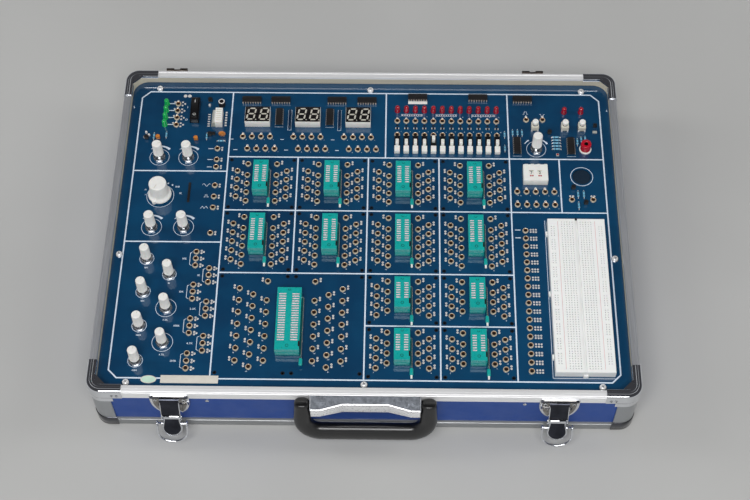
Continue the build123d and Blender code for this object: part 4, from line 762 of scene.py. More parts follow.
BAIL_Y = PIVOT_Y - 6.2 * sin(radians(27)) - 2.6 * cos(radians(27))
BAIL_Z = PIVOT_Z - 6.2 * cos(radians(27)) + 2.6 * sin(radians(27))
for side, x in CATCHES.items():
    lever = Piece(f"{side}_catch_lever_dressed")
    # domed plate: rings shrinking towards the crown, local coordinates with -Y outwards; the crown is darkened chrome
    # as a painted dark reflection
    rows = []
    steps = 30
    outline = [(-7.5, 0.0), (-7.6, -3.0), (-8.4, -7.0)]
    outline += [(9.3 * cos(pi + pi * i / steps), -11.7 + 9.3 * sin(pi + pi * i / steps)) for i in range(steps + 1)]
    outline += [(8.4, -7.0), (7.6, -3.0), (7.5, 0.0)]
    points, faces = [], []
    layers = ((1.0, -0.9), (1.0, -1.7), (0.96, -2.15), (0.86, -2.38), (0.6, -2.55), (0.3, -2.6))
    for scale, out in layers:
        for px, pz in outline:
            points.append((px * scale, out, (pz + 9.0) * scale - 9.0 if scale < 1 else pz))
    n = len(outline)
    for k in range(len(layers) - 1):
        for i in range(n):
            j = (i + 1) % n
            faces.append((k * n + i, k * n + j, (k + 1) * n + j, (k + 1) * n + i))
    faces.append(tuple(reversed(range(n))))
    faces.append(tuple(range((len(layers) - 1) * n, len(layers) * n)))
    lean = leaning(x, PIVOT_Y, PIVOT_Z, 27.0)
    keys = ["chrome"] * (n * 3) + ["smoked"] * (n * (len(layers) - 4)) + ["chrome", "smoked"]
    lever.add((np.array(points), faces, keys), matrix=lean)
    eye = lathe([(1.26, -7.7), (2.2, -7.7), (2.4, -7.4), (2.4, 7.4), (2.2, 7.7), (1.26, 7.7), (1.26, -7.7)], 22, "chrome")
    lever.add(eye, (x, PIVOT_Y, PIVOT_Z), matrix=Matrix.Rotation(radians(90), 4, "Y"))
    for s in (-1, 1):
        stub = lathe([(0, 8.0), (1.1, 8.0), (1.1, 14.4), (0.9, 14.7), (0, 14.7)], 14, "chrome")
        lever.add(stub, (x, BAIL_Y, BAIL_Z), matrix=Matrix.Rotation(radians(90 * s), 4, "Y"))
    lever.make(f"{side}_lever", "chrome", [f"{side}_catch_lever"], smooth=50)

    bail = Piece(f"{side}_bail_dressed")
    hang = leaning(x, BAIL_Y, BAIL_Z, 29.0)
    route = [(-13.6, 0, -2.0), (-13.6, 0, -4.5), (-13.6, 0, -8.0)]
    route += [(13.6 * cos(pi + pi * i / 26), 0, -9.8 + 10.2 * sin(pi + pi * i / 26)) for i in range(27)]
    route += [(13.6, 0, -8.0), (13.6, 0, -4.5), (13.6, 0, -2.0)]
    bail.add(tube(route, 1.1, 12, "chrome"), matrix=hang)
    for s in (-1, 1):
        ring = [(s * 13.6, 1.95 * cos(2 * pi * i / 20), 1.95 * sin(2 * pi * i / 20)) for i in range(20)]
        bail.add(tube(ring, 0.78, 10, "chrome", closed=True), matrix=hang)
    bail.make(f"{side}_bail", "chrome", [f"{side}_catch_bail"], smooth=60)

# ================================================================ handle
HX, HY, HZ = 2.0, -190.2, 57.0
bracket = Piece("handle_bracket_dressed")
front_line = [(-50.0, -196.0), (-41.0, -196.0), (-20.5, -191.0), (20.5, -191.0), (41.0, -196.0), (50.0, -196.0)]
plan = [(HX + px, py) for px, py in front_line]
lip_t = 1.3
points, faces, keys = prism([(HX - 50.0, -183.1)] + plan + [(HX + 50.0, -183.1)], -1.2, 0.0, "bracket_sheet")
points[:, 2] += 64.5 - (-183.1 - points[:, 1]) * 0.42        # the plate falls towards the front
bracket.add((points, faces, keys))
for (ax, ay), (bx, by) in zip(plan, plan[1:]):
    # lip: a thick rolled strip along the bent front
    points, faces, keys = prism([(ax, ay), (bx, by), (bx, by + lip_t), (ax, ay + lip_t)], 47.7, 48.7, "bright")
    top = points[:, 2] > 48
    points[top, 2] = 64.6 - (-183.1 - points[top, 1]) * 0.42
    bracket.add((points, faces, keys))
bracket.add(tube([(px, py + 0.75, 64.1 - (-183.1 - py) * 0.42) for px, py in plan], 0.7, 8, "bright"))
bracket.add(tube([(px, py + 0.75, 48.3) for px, py in plan], 0.62, 8, "bright"))
for s in (-1, 1):
    x0, x1 = sorted((HX + s * 50, HX + s * 49))
    points, faces, keys = prism([(x0, -196.0), (x1, -196.0), (x1, -183.1), (x0, -183.1)], 47.7, 48.7, "zinc")
    top = points[:, 2] > 48
    points[top, 2] = 64.9 - (-183.1 - points[top, 1]) * 0.42
    bracket.add((points, faces, keys))
    knuckle = lathe([(0, 0), (2.5, 0), (2.5, 11.2), (2.2, 11.5), (0, 11.5)], 18, "steel")
    bracket.add(knuckle, (HX + s * 50.0, HY, HZ), matrix=Matrix.Rotation(radians(90 * s), 4, "Y"))
bracket.make("case", "chrome", ["handle_bracket"], bevel=0.2)

grip = Piece("handle_grip_dressed")
lean = leaning(HX, HY, HZ, 17.0)


def grip_route():
    """Centre line of the grip, as (across, up) points in the leaning plane."""
    arm_x, bar_z, bend = 57.0, -32.4, 17.0
    route = [(-arm_x, 6.2), (-arm_x, 5.9), (-arm_x, 5.0)]
    for i in range(1, 9):
        route.append((-arm_x, 5.0 - (5.0 + (-bar_z - bend)) * i / 8))
    for i in range(1, 11):
        turn = pi + (pi / 2) * i / 10
        route.append((-arm_x + bend + bend * cos(turn), bar_z + bend + bend * sin(turn)))
    for i in range(1, 24):
        route.append((-arm_x + bend + (2 * (arm_x - bend)) * i / 24, bar_z))
    for i in range(0, 11):
        turn = -pi / 2 + (pi / 2) * i / 10
        route.append((arm_x - bend + bend * cos(turn), bar_z + bend + bend * sin(turn)))
    for i in range(1, 9):
        route.append((arm_x, bar_z + bend + (5.0 - bar_z - bend) * i / 8))
    return route + [(arm_x, 5.9), (arm_x, 6.2)]


route = grip_route()
points, faces = [], []
around = 28
total = len(route)
for index, (u, v) in enumerate(route):
    before, after = route[max(0, index - 1)], route[min(total - 1, index + 1)]
    tu, tv = after[0] - before[0], after[1] - before[1]
    size = sqrt(tu * tu + tv * tv)
    nu, nv = -tv / size, tu / size
    share = abs(2 * index / (total - 1) - 1)        # 1 at the arm ends, 0 in the middle of the bar
    half_in = 6.6 + 2.0 * min(1.0, (1 - share) * 2.2)
    half_out = 6.2
    end = min(index, total - 1 - index)
    cap = {0: 0.7, 1: 0.88}.get(end, 1.0)
    for step in range(around):
        turn = 2 * pi * step / around
        c, s = cos(turn), sin(turn)
        c, s = abs(c) ** 0.82 * (1 if c > 0 else -1), abs(s) ** 0.82 * (1 if s > 0 else -1)
        points.append((u + nu * half_in * c * cap, half_out * s * cap, v + nv * half_in * c * cap))
for i in range(total - 1):
    for step in range(around):
        nxt = (step + 1) % around
        faces.append((i * around + step, i * around + nxt, (i + 1) * around + nxt, (i + 1) * around + step))
faces.append(tuple(reversed(range(around))))
faces.append(tuple(range((total - 1) * around, total * around)))
grip.add((np.array(points), faces, ["black"] * len(faces)), matrix=lean)
grip.make("handle", "black_plastic", ["handle_grip"], smooth=60)

# ================================================================ board screws
screws = Piece("board_screws_dressed")
pan = lathe([(3.0, 0), (3.0, 1.2), (2.7, 1.9), (2.1, 2.4), (1.2, 2.6), (0, 2.6)], 22, "bright")
washer = lathe([(3.4, 0), (3.4, 0.5), (1.6, 0.5)], 24, "steel")
shank = lathe([(0, -9.0), (1.5, -8.4), (1.5, 0)], 10, "steel")
SCREWS = [(-215.8, 167.3), (0.3, 167.3), (215.8, 167.3), (-236.3, -32.6), (236.3, -32.6), (-215.8, -168.6),
          (0.3, -168.6), (215.8, -168.6)]
for x, y in SCREWS:
    screws.add(pan, (x, y, BOARD + 0.4))
    screws.add(washer, (x, y, BOARD))
    screws.add(shank, (x, y, BOARD))
    for turn in (20, 110):
        screws.add(rounded_box((3.0, 0.45, 0.5), (0, 0, 0), 0, mat="steel"), (x, y, BOARD + 2.56), turn=turn)
screws.make("case", "steel", ["board_screws"])

# ================================================================ layout of the modules
CELLS = [-105.1 + 70.0 * i for i in range(4)]
ROWS = [  # name, pins, rear end of the socket, columns, terminal rows: supply, inner, count, outer, count
    ("first_row", 16, 71.6, CELLS, (74.1, 60.7, 4, 65.7, 4)),
    ("second_row", 20, 9.2, CELLS, (11.3, -1.4, 5, 3.7, 5)),
    ("third_row", 14, -60.6, CELLS[2:], (-59.8, -71.1, 3, -65.8, 4)),
    ("fourth_row", 14, -115.6, CELLS[2:], (-114.5, -126.0, 3, -120.9, 4)),
    ("wide_socket", 40, -73.6, [-70.1], None),
]
LOGIC = [28.2 + 9.09 * i for i in range(12)]
DISPLAYS = [(-112.9 + 50.8 * i, 129.6) for i in range(3)]

# ================================================================ printing
ink = Piece("printed_lines")
W = 1.35
X0, X1, Y0, Y1, C = -233.0, 233.0, -163.7, 163.7, 8.0
ink.add(strip([(X0 + C, Y0), (X0, Y0 + C), (X0, Y1 - C), (X0 + C, Y1), (X1 - C, Y1), (X1, Y1 - C), (X1, Y0 + C),
               (X1 - C, Y0)], W, closed=True))
for y, xa, xb in ((83.0, -140.05, X1), (65.3, X0, -140.05), (19.6, -140.05, X1), (-17.5, X0, -140.05),
                  (-51.4, -140.05, 139.8), (-107.5, -0.15, 139.8)):
    ink.add(strip([(xa, y), (xb, y)], W))
for x, ya, yb in ((-140.05, Y0, Y1), (-70.2, -51.4, 83.0), (-0.15, Y0, 83.0), (16.7, 83.0, Y1), (69.9, Y0, 83.0),
                  (139.8, Y0, Y1), (189.0, 19.6, 83.0)):
    ink.add(strip([(x, ya), (x, yb)], W))


def label(text, x, y, size=2.4):
    write(ink, text, x, y, size)


def dashes(x, y, count, size=2.6, pitch=3.4):
    """Row of small plain blocks where a printed word would be."""
    for i in range(count):
        cx = x + (i - (count - 1) / 2) * pitch
        ink.add(strip([(cx - size * 0.36, y), (cx + size * 0.36, y)], size * 0.3))


for x, y in ((-208.5, 81.6), (-179.7, 81.6)):
    ink.add(circle_line(x, y, 9.7))
    ink.add(swelling_arc(x, y, 13.5, 134, 46, 0.6, 2.4))
for x, y in ((-208.5, -1.2), (-177.5, -1.0)):
    ink.add(circle_line(x, y, 9.7))
    ink.add(swelling_arc(x, y, 13.5, 134, 46, 0.6, 2.4))
ink.add(circle_line(167.0, 95.2, 9.6))
ink.add(swelling_arc(167.0, 95.2, 13.0, 150, 122, 0.7, 1.3))
ink.add(swelling_arc(167.0, 95.2, 13.0, 58, 30, 1.3, 2.1))
ink.add(circle_line(-203.4, 35.2, 13.25))
for text, x, y, size in (("1", -218.4, 36.6, 2.3), ("10", -218.6, 42.6, 2.3), ("100", -187.4, 46.4, 2.9),
                         ("1K", -183.6, 38.6, 2.9)):
    label(text, x, y, size)
for x, y in ((-214.6, 45.6), (-197.0, 50.2), (-192.6, 48.2)):
    ink.add(disc(x, y, 0.85))
POTS = [(-209.5, -36.8, 6.8), (-186.4, -54.0, 6.5), (-209.5, -73.2, 6.8), (-186.4, -90.4, 9.6),
        (-209.5, -109.6, 6.8), (-186.4, -126.8, 9.6), (-209.5, -146.0, 6.8)]
VALUES = ["10K", "1K", "10K", "2.2K", "100K", "4.7K", "100K"]
for (x, y, r), value in zip(POTS, VALUES):
    ink.add(circle_line(x, y, r))
    label(value, x + 0.5, y - r - 3.2, 2.3)
for i, value in enumerate(VALUES):
    x = -162.7 if i % 2 == 0 else -149.1
    y = -36.4 - 18.25 * i
    bx = x - 5.6
    ink.add(strip([(bx + 2.0, y + 7.6), (bx, y + 6.4), (bx, y - 6.4), (bx + 2.0, y - 7.6)], 0.5))
    label(value, bx - 1.0 - 1.35 * len(value), y, 2.7)
label("O", -185.6, 128.4, 3.4)
label("I", -185.6, 144.4, 3.4)
for y in (121.6, 130.4, 139.2, 148.0):
    ink.add(strip([(-205.2, y + 0.6), (-198.6, y + 0.6)], 1.0))
for i in range(3):
    x = DISPLAYS[i][0]
    label("1 2 3 4", x + 14.0 + 6.4, 103.6, 0.01)
for i, x in enumerate(LOGIC):
    label(str(i + 1), x + 2.6, 134.4, 1.6)
    label(str(i + 1), x + 3.9, 115.6, 1.5)
for xa, xb in ((32.4, 53.4), (67.2, 88.2), (103.6, 126.4)):
    ink.add(strip([(xa, 135.2), (xb, 135.2), (xb, 137.4), (xa, 137.4)], 0.35, closed=True))
    for k in range(9):
        ink.add(disc(xa + (xb - xa) * (k + 0.5) / 9, 136.3, 0.62, mat="nickel"))
for x in (-80.6, -30.3):
    ink.add(strip([(x - 1.7, 116.2), (x + 1.7, 116.2), (x + 1.7, 141.6), (x - 1.7, 141.6)], 0.3, closed=True))
for x, y in ((-91.3, 131.6), (-40.2, 131.6), (148.0, 98.0), (201.6, 98.0)):
    ink.add(strip([(x - 4.4, y - 11.4), (x + 4.4, y - 11.4)], 0.3))
# wave signs beside the pulse and function terminals
for sign, x, y in (("up", 155.0, 138.6), ("down", 172.0, 138.6)):
    d = 1 if sign == "up" else -1
    ink.add(strip([(x, y), (x + 1.4, y), (x + 1.8, y + 3.2 * d), (x + 3.8, y + 3.2 * d), (x + 4.2, y),
                   (x + 5.6, y)], 0.35))
ink.add(strip([(-163.0 + i * 0.55, 48.6 + 1.5 * sin(i * 0.63)) for i in range(15)], 0.4))
ink.add(strip([(-161.0, 34.4), (-159.4, 34.4), (-159.4, 37.0), (-157.6, 37.0), (-157.6, 34.4), (-155.8, 34.4)], 0.4))
ink.add(strip([(-163.0, 21.0), (-161.2, 23.6), (-159.4, 21.0), (-157.6, 23.6), (-155.8, 21.0)], 0.4))
ink.add(circle_line(210.4, 62.4, 10.9, 0.6))
ink.add(strip([(171.6, 10.4), (171.6, -159.6), (229.4, -159.6)], 0.45))
for x, y in ((-189.0, 158.5), (-184.6, 158.5)):
    ink.add(disc(x, y, 1.9, mat="nickel"))
label("16", 147.2, 39.6, 1.6)
for i in range(5):
    label(str(i), 146.2 + 9.1 * i + 3.6, 39.4, 1.5)
    label(str(i + 5), 146.2 + 9.1 * i + 3.6, 24.2, 1.5)


# ================================================================ wire terminals, their pads and numbers
# the near-black floor just below the rim is painted shade for the deep bore
cup = lathe([(2.95, 0.0), (2.95, 0.6), (2.8, 1.1), (2.5, 1.45), (2.2, 1.5), (1.98, 1.35), (1.8, 1.05), (1.65, 0.3),
             (0.9, 0.24), (0, 0.24)], 20,
            ["gilt", "gilt", "gilt", "gilt", "gilt", "copper", "copper", "dark", "dark"])
# near-black centre of each plated hole: painted shade in the hole
pad = lathe([(1.05, 0.0), (1.0, 0.2), (0.72, 0.32), (0.26, 0.32), (0.22, 0.02), (0, 0.02)], 10,
            ["nickel", "nickel", "nickel", "dark", "dark"])
terminals = Piece("terminal_cups")
pads = Piece("plated_holes")


def terminal(x, y, side=0, number=None, pads_at=()):
    """One cup, its plated holes on the outer side, and its number."""
    terminals.add(cup, (x, y, BOARD), turn=random.uniform(0, 18))
    if side:
        for dy in (3.4, 0.9):
            pads.add(pad, (x + side * 4.95, y + dy, BOARD), scale=1.05)
    for dx, dy in pads_at:
        pads.add(pad, (x + dx, y + dy, BOARD), scale=1.2 if dx == 0 and dy > 4 else 1.0)
    if number is not None:
        label(str(number), x + side * 1.8, y - 4.4, 1.7)


for name, pins, rear, columns, rows in ROWS:
    if not rows:
        continue
    supply, inner, inner_count, outer, outer_count = rows
    for cx in columns:
        for side in (-1, 1):
            terminal(cx + side * 14.3, supply, side, None)
            left = side < 0
            for i in range(inner_count):
                number = 2 * i + 2 if left else pins - 1 - 2 * i
                terminal(cx + side * 14.3, inner - 10.16 * i, side, number)
            for i in range(outer_count):
                number = 2 * i + 1 if left else pins - 2 * i
                terminal(cx + side * 24.4, outer - 10.16 * i, side, number)
for side in (-1, 1):
    left = side < 0
    for i, y in enumerate([-60.8] + [-81.5 - 12.7 * k for k in range(6)]):
        terminal(-70.1 + side * 22.4, y, side, None if i == 0 else (3 * i if left else 41 - 3 * i))
    for i in range(7):
        terminal(-70.1 + side * 35.4, -75.2 - 12.7 * i, side, 3 * i + 2 if left else 39 - 3 * i)
        terminal(-70.1 + side * 48.5, -68.8 - 12.7 * i, side, 3 * i + 1 if left else 40 - 3 * i)
for dx0 in range(3):
    base = DISPLAYS[dx0][0]
    for i in range(4):
        terminal(base - 14.1 + 9.09 * i, 107.7, 0, None, [(0, 4.1)])
        terminal(base - 8.8 + 9.09 * i, 92.8, 0, None, [(0, 4.1)])
        label(str(8 >> i), base - 14.1 + 9.09 * i + 3.7, 104.4, 1.4)
        label(str(8 >> i), base - 8.8 + 9.09 * i + 3.7, 89.4, 1.4)
    ink.add(strip([(base - 22.5, 91.6), (base - 18.6, 91.6)], 0.7))
    ink.add(strip([(base - 27.0, 104.6), (base - 23.4, 104.6)], 0.7))
for x in LOGIC:
    terminal(x, 128.6, 0, None, [(0, 3.9)])
    terminal(x, 111.4, 0)
for x, y in ((158.3, 131.2), (174.8, 131.2)):
    terminal(x, y, 0, None, [(0, 4.4)])
for x, y in ((199.3, 34.8), (220.0, 34.8)):
    terminal(x, y, 0, None, [(-1.4, 4.4), (1.4, 4.4)])
for i in range(5):
    for y in (43.6, 28.4):
        terminal(146.2 + 9.1 * i, y, 0, None, [(0, 4.1)])
for i in range(18):
    y = -1.5 - 8.906 * i
    terminal(152.6, y, 0)
    for dx in (5.0, 7.6, 10.1):
        for dy in (1.3, -1.3):
            pads.add(pad, (152.6 + dx, y + dy, BOARD), scale=0.95, mat=None)
for y in (-1.5, -10.4):
    ink.add(strip([(142.6, y + 0.8), (147.8, y + 0.8)], 0.9))
for y in (121.6, 130.4, 139.2, 148.0):
    terminal(-195.3, y, 0, None, [(4.3, 2.4), (4.3, -1.6), (-0.4, 4.2), (-3.4, 2.6), (6.8, 0.4)])
for x, y in ((-151.5, 92.5), (-151.3, 79.2), (-151.3, 70.3), (-150.8, 48.1), (-150.8, 34.9), (-150.8, 22.1),
             (-151.1, -7.4)):
    terminal(x, y, 0, None, [(4.8, 1.3), (4.8, -1.3)])
for y in (92.5, 79.2, 70.3):
    ink.add(strip([(-160.5, y), (-155.4, y)], 0.7))
for i in range(7):
    x = -162.7 if i % 2 == 0 else -149.1
    for step in (-1, 0, 1):
        y = -36.4 - 18.25 * i + 7.6 * step
        terminal(x, y, 0, None, [(4.9, 1.3), (4.9, -1.3), (7.0, 0.0)])
terminals.make("case", "gilt", ["wire_terminals"], smooth=40)
pads.make("case", "gilt", smooth=40)

# dark rims of the small holes near the corners of the socket cells
holes = Piece("hole_rims")
ring = lathe([(1.9, 0.0), (1.85, 0.09), (1.12, 0.09), (1.1, -1.9)], 16, ["dark", "dark", "dark"])
columns = [-140.05 + 70.0 * i for i in range(5)]
for index, (high, low) in enumerate(((83.0, 19.6), (19.6, -51.4), (-51.4, -107.5), (-107.5, -163.7))):
    for column in (range(4) if index < 2 else range(2, 4)):
        for y in (high - 3.8, low + 3.8):
            for x in (columns[column] + 3.9, columns[column + 1] - 3.9):
                holes.add(ring, (x, y, BOARD))
for y in (-55.2, -157.3):
    for x in (-136.15, -73.95, -66.15, -3.95):
        holes.add(ring, (x, y, BOARD))
holes.make("case", "board_blue")

# ================================================================ lever sockets
SOCKET_H = 12.0
sockets = Piece("lever_sockets_dressed")


def socket_shape(pins):
    length = 15.0 + 2.54 * (pins // 2)
    wide = pins >= 40
    width = 22.6 if wide else 14.8
    row, slot = (12.2, 6.8) if wide else (7.62, 4.0)
    rows = pins // 2
    shapes = [rounded_box((width - 0.3, length - 0.2, 6.2), (0, -length / 2, 0), 0.25, mat="teal"),
              # darker teal band in the gap under the top plate: painted shade
              rounded_box((width - 0.9, length - 0.9, 0.5), (0, -length / 2, 6.0), 0, mat="teal_dark")]
    # top plate: a grid of quads with a recess for each slot
    xs = sorted({-width / 2 + 0.35, width / 2 - 0.35, -row / 2 - slot / 2, -row / 2 + slot / 2, row / 2 - slot / 2,
                 row / 2 + slot / 2})
    ys = [-0.35]
    slot_ys = []
    for i in range(rows):
        y = -7.4 - 2.54 * i
        ys += [y + 0.68, y - 0.68]
        slot_ys.append(len(ys) - 2)
    ys.append(-length + 0.35)
    points = [(x, y, SOCKET_H) for y in ys for x in xs]
    faces, keys = [], []
    nx = len(xs)
    for j in range(len(ys) - 1):
        for i in range(nx - 1):
            quad = (j * nx + i, (j + 1) * nx + i, (j + 1) * nx + i + 1, j * nx + i + 1)
            if j in slot_ys and i in (1, 3):
                start = len(points)
                for k in quad:
                    px, py, _ = points[k]
                    points.append((px, py, SOCKET_H - 0.55))
                deep = tuple(range(start, start + 4))
                for a in range(4):
                    b = (a + 1) % 4
                    faces.append((quad[a], quad[b], deep[b], deep[a]))
                    # side walls of each slot in the darker teal: painted shade
                    keys.append("teal_dark" if a in (0, 2) else "contact")
                faces.append(deep)
                keys.append("contact")
            else:
                faces.append(quad)
                keys.append("teal")
    # sloping rim and sides of the top plate
    loops = ((0.35, SOCKET_H), (0.0, SOCKET_H - 0.35), (0.0, 6.45), (0.35, 6.45))
    corner = len(points)
    for inset, z in loops:
        for x, y in ((-width / 2 + inset, -inset), (width / 2 - inset, -inset),
                     (width / 2 - inset, -length + inset), (-width / 2 + inset, -length + inset)):
            points.append((x, y, z))
    for k in range(3):
        for a in range(4):
            b = (a + 1) % 4
            faces.append((corner + 4 * k + a, corner + 4 * k + b, corner + 4 * k + 4 + b, corner + 4 * k + 4 + a))
            keys.append("teal")
    shapes.append((np.array(points), faces, keys))
    # moulded marks on the top: a round one at the rear and a U at the front, drawn flat in the darker teal as painted
    # shade of their relief, and the pivot boss
    shapes.append(strip(arc_points(0, -length + 4.4, 1.3, 0, 360, 22)[:-1], 0.5, SOCKET_H + 0.03, "teal_dark", True))
    shapes.append(strip(arc_points(0, -2.5, 1.1, 160, 380, 14), 0.45, SOCKET_H + 0.03, "teal_dark"))
    # dark recess in the side, where the lever lies down: a dark block as painted shade of the gap between the side
    # and the lever
    shapes.append(rounded_box((1.3, 5.6, 4.6), (width / 2 - 0.6, -length + 6.4, 7.44), 0, mat="dark"))
    boss = lathe([(1.15, 0), (2.3, 0), (2.3, 0.3), (2.0, 0.42), (1.15, 0.42)], 18, "teal")
    points, faces, keys = boss
    points = np.stack([points[:, 2] + width / 2 - 0.2, points[:, 0] - 7.0, points[:, 1] + 4.3], axis=1)
    shapes.append((points, faces, keys))
    return shapes, length, width


M["contact"] = finish("contact_strip", linear(226, 214, 218), 0.38, metal=0.3, vary=0.14, grain=800.0)
for name, pins, rear, columns, rows in ROWS:
    shapes, length, width = socket_shape(pins)
    levers = Piece(f"{name}_levers_dressed")
    for cx in columns:
        for shape in shapes:
            sockets.add(shape, (cx - 0.5, rear, BOARD))
        side = width / 2 + 1.4
        front = -length - 5.0
        h = 4.3
        route = [(width / 2 - 3.9, -7.0, h), (side - 1.2, -7.0, h), (side - 0.45, -7.15, h), (side - 0.12, -7.6, h),
                 (side, -8.4, h), (side, front + 1.0, h), (side, front - 6.0, h)]
        levers.add(tube(route, 0.88, 12, "steel"), (cx - 0.5, rear, BOARD))
        if pins < 40:
            tip = [(side, front - 6.0, h), (side, front - 10.0, h), (side, front - 10.3, h), (side, front - 10.4, h)]
            levers.add(tube(tip, [1.0, 1.0, 0.8, 0.4], 12, "white"), (cx - 0.5, rear, BOARD))
        knob = tube([(side, front + 0.1, h), (side, front - 0.3, h), (side, front - 0.9, h), (side, front - 6.4, h),
                     (side, front - 7.0, h), (side, front - 7.2, h)], [1.15, 1.55, 1.74, 1.74, 1.5, 1.0], 14, "teal")
        levers.add(knob, (cx - 0.5, rear, BOARD))
    node = f"{name}_levers" if pins < 40 else "wide_socket_lever"
    levers.make(f"{name}_levers", "steel", [node], smooth=50)
sockets.make("case", "teal_plastic", ["lever_sockets"])

# ================================================================ displays
SEGMENTS = {"a": ((-2.5, 6.0), (2.5, 6.0)), "b": ((3.1, 5.4), (3.1, 0.6)), "c": ((3.1, -0.6), (3.1, -5.4)),
            "d": ((2.5, -6.0), (-2.5, -6.0)), "e": ((-3.1, -5.4), (-3.1, -0.6)), "f": ((-3.1, 0.6), (-3.1, 5.4)),
            "g": ((-2.5, 0.0), (2.5, 0.0))}
displays = Piece("digit_displays_dressed")
for cx, cy in DISPLAYS:
    displays.add(rounded_box((25.2, 19.0, 9.0), (cx, cy, BOARD), 0.25, mat="white"))
    displays.add(rounded_box((24.7, 18.5, 0.35), (cx, cy, BOARD + 9.0), 0.1, mat="face"))
    top = BOARD + 9.39
    for digit in (-6.1, 6.6):
        for (ax, ay), (bx, by) in SEGMENTS.values():
            bar = []
            dx, dy = bx - ax, by - ay
            size = sqrt(dx * dx + dy * dy)
            ux, uy = dx / size, dy / size
            w = 0.7
            for px, py in ((ax, ay), (ax + ux * w - uy * w, ay + uy * w + ux * w),
                           (bx - ux * w - uy * w, by - uy * w + ux * w), (bx, by),
                           (bx - ux * w + uy * w, by - uy * w - ux * w),
                           (ax + ux * w + uy * w, ay + uy * w - ux * w)):
                bar.append((cx + digit + (px + py * 0.16) * 1.14, cy + 0.1 + py * 1.12))
            points = np.array([(x, y, top) for x, y in reversed(bar)])
            displays.add((points, [tuple(range(6))], ["segment"]))
        displays.add(disc(cx + digit + 4.7, cy - 7.0, 0.62, top, "segment", 14))
    for side in (-1, 1):
        for i in range(5):
            displays.add(rounded_box((0.5, 0.3, 1.0), (cx + (i - 2) * 2.54, cy + side * 9.35, BOARD), 0, mat="steel"))
displays.make("case", "display", ["display_blocks"])

# ================================================================ chips and other small parts
small = Piece("small_parts_dressed")


def chip_shape():
    shapes = [rounded_box((19.3, 6.4, 3.3), (0, 0, 1.0), 0.35, mat="chip")]
    shapes.append(rounded_box((19.36, 6.46, 0.25), (0, 0, 2.5), 0, mat="matt_black"))
    notch = disc(-9.1, 0, 0.95, 4.32, "matt_black", 16)
    shapes.append(notch)
    shapes.append(disc(-7.6, -1.9, 0.45, 4.32, "matt_black", 12))
    for i in range(8):
        x = (i - 3.5) * 2.54
        for side in (-1, 1):
            shapes.append(rounded_box((1.3, 0.75, 0.32), (x, side * 3.45, 2.35), 0, mat="leg"))
            shapes.append(rounded_box((1.2, 0.32, 1.6), (x, side * 3.85, 0.95), 0, mat="leg"))
            shapes.append(rounded_box((0.55, 0.3, 1.0), (x, side * 3.85, 0.0), 0, mat="leg"))
    return shapes


chip = chip_shape()
for x, y in ((-120.3, 152.9), (-90.7, 152.9), (-33.4, 152.9), (-2.9, 152.9), (48.7, 157.6), (110.0, 157.6),
             (155.2, 156.0)):
    for shape in chip:
        small.add(shape, (x, y, BOARD))
for x, y in ((-91.3, 131.6), (-40.2, 131.6), (148.0, 98.0), (201.6, 98.0)):
    for shape in chip:
        small.add(shape, (x, y, BOARD), turn=90)
flat_part = [rounded_box((2.3, 1.7, 0.6), (0, 0, 0.06), 0.05, mat="chip"),
             rounded_box((0.75, 1.8, 0.66), (-1.5, 0, 0.03), 0.08, mat="nickel"),
             rounded_box((0.75, 1.8, 0.66), (1.5, 0, 0.03), 0.08, mat="nickel")]
for x in LOGIC:
    for y in (119.6, 123.0):
        for shape in flat_part[:1] if y > 121 else flat_part:
            small.add(shape, (x, y, BOARD))
small.add(rounded_box((19.4, 3.6, 0.5), (48.8, 152.2, BOARD), 0.1, mat="white"))


def resistor_shape(body="resistor"):
    """Small resistor with leads, along X."""
    profile = [(0.0, -3.1), (0.75, -3.1), (1.12, -2.8), (1.2, -2.3), (1.05, -1.8), (0.98, -1.2), (0.98, 1.2),
               (1.05, 1.8), (1.2, 2.3), (1.12, 2.8), (0.75, 3.1), (0.0, 3.1)]
    mats = [body] * 4 + ["band"] + [body] * 2 + ["band"] + [body] * 3
    points, faces, keys = lathe(profile, 14, mats)
    points = np.stack([points[:, 2], points[:, 1], points[:, 0] + 1.25], axis=1)
    lead = tube([(-4.55, 0, 0.0), (-4.55, 0, 0.9), (-4.35, 0, 1.2), (-4.0, 0, 1.25), (4.0, 0, 1.25), (4.35, 0, 1.2),
                 (4.55, 0, 0.9), (4.55, 0, 0.0)], 0.3, 8, "nickel")
    return [(points, faces, keys), lead]


for y in (109.3, 105.7, 102.1, 98.5, 94.9):
    for shape in resistor_shape():
        small.add(shape, (187.4, y, BOARD))
for x, y, body in ((-216.3, 106.8, "resistor"), (205.6, 41.0, "resistor"), (211.2, 41.0, "resistor"),
                   (205.6, 27.8, "resistor"), (208.4, 104.0, "resistor")):
    for shape in resistor_shape(body):
        small.add(shape, (x, y, BOARD), turn=90)
for x, y in ((-80.6, 128.6), (-30.3, 128.6)):
    small.add(rounded_box((2.0, 20.4, 4.4), (x, y, BOARD + 0.6), 0.3, mat="blue_part"))
    for i in range(8):
        small.add(rounded_box((0.5, 0.5, 0.8), (x, y + (i - 3.5) * 2.54, BOARD), 0, mat="nickel"))
# white connector with its grey plug
small.add(rounded_box((7.2, 18.0, 9.5), (-152.0, 128.0, BOARD), 0.4, mat="white"))
for i in range(6):
    small.add(rounded_box((5.2, 1.1, 0.12), (-152.0, 128.0 + (i - 2.5) * 2.6, BOARD + 9.44), 0.05, mat="cream"))
wedge = [(-2.2, 0.0), (2.2, 0.0), (2.2, 6.4), (-0.6, 6.4)]
points, faces, keys = prism(wedge, -8.0, 8.0, "grey")
small.add((np.stack([points[:, 0], points[:, 2], points[:, 1]], axis=1), [f[::-1] for f in faces], keys),
          (-157.8, 128.0, BOARD))
small.add(rounded_box((0.7, 15.4, 1.0), (-156.4, 128.0, BOARD + 6.2), 0.2, mat="nickel"))
for i in range(6):
    small.add(rounded_box((2.4, 1.1, 0.25), (-162.6, 120.6 + i * 2.9, BOARD), 0, mat="nickel"))
    small.add(rounded_box((2.0, 1.9, 0.3), (-145.4, 121.6 + i * 3.2, BOARD), 0.1, mat="nickel"))
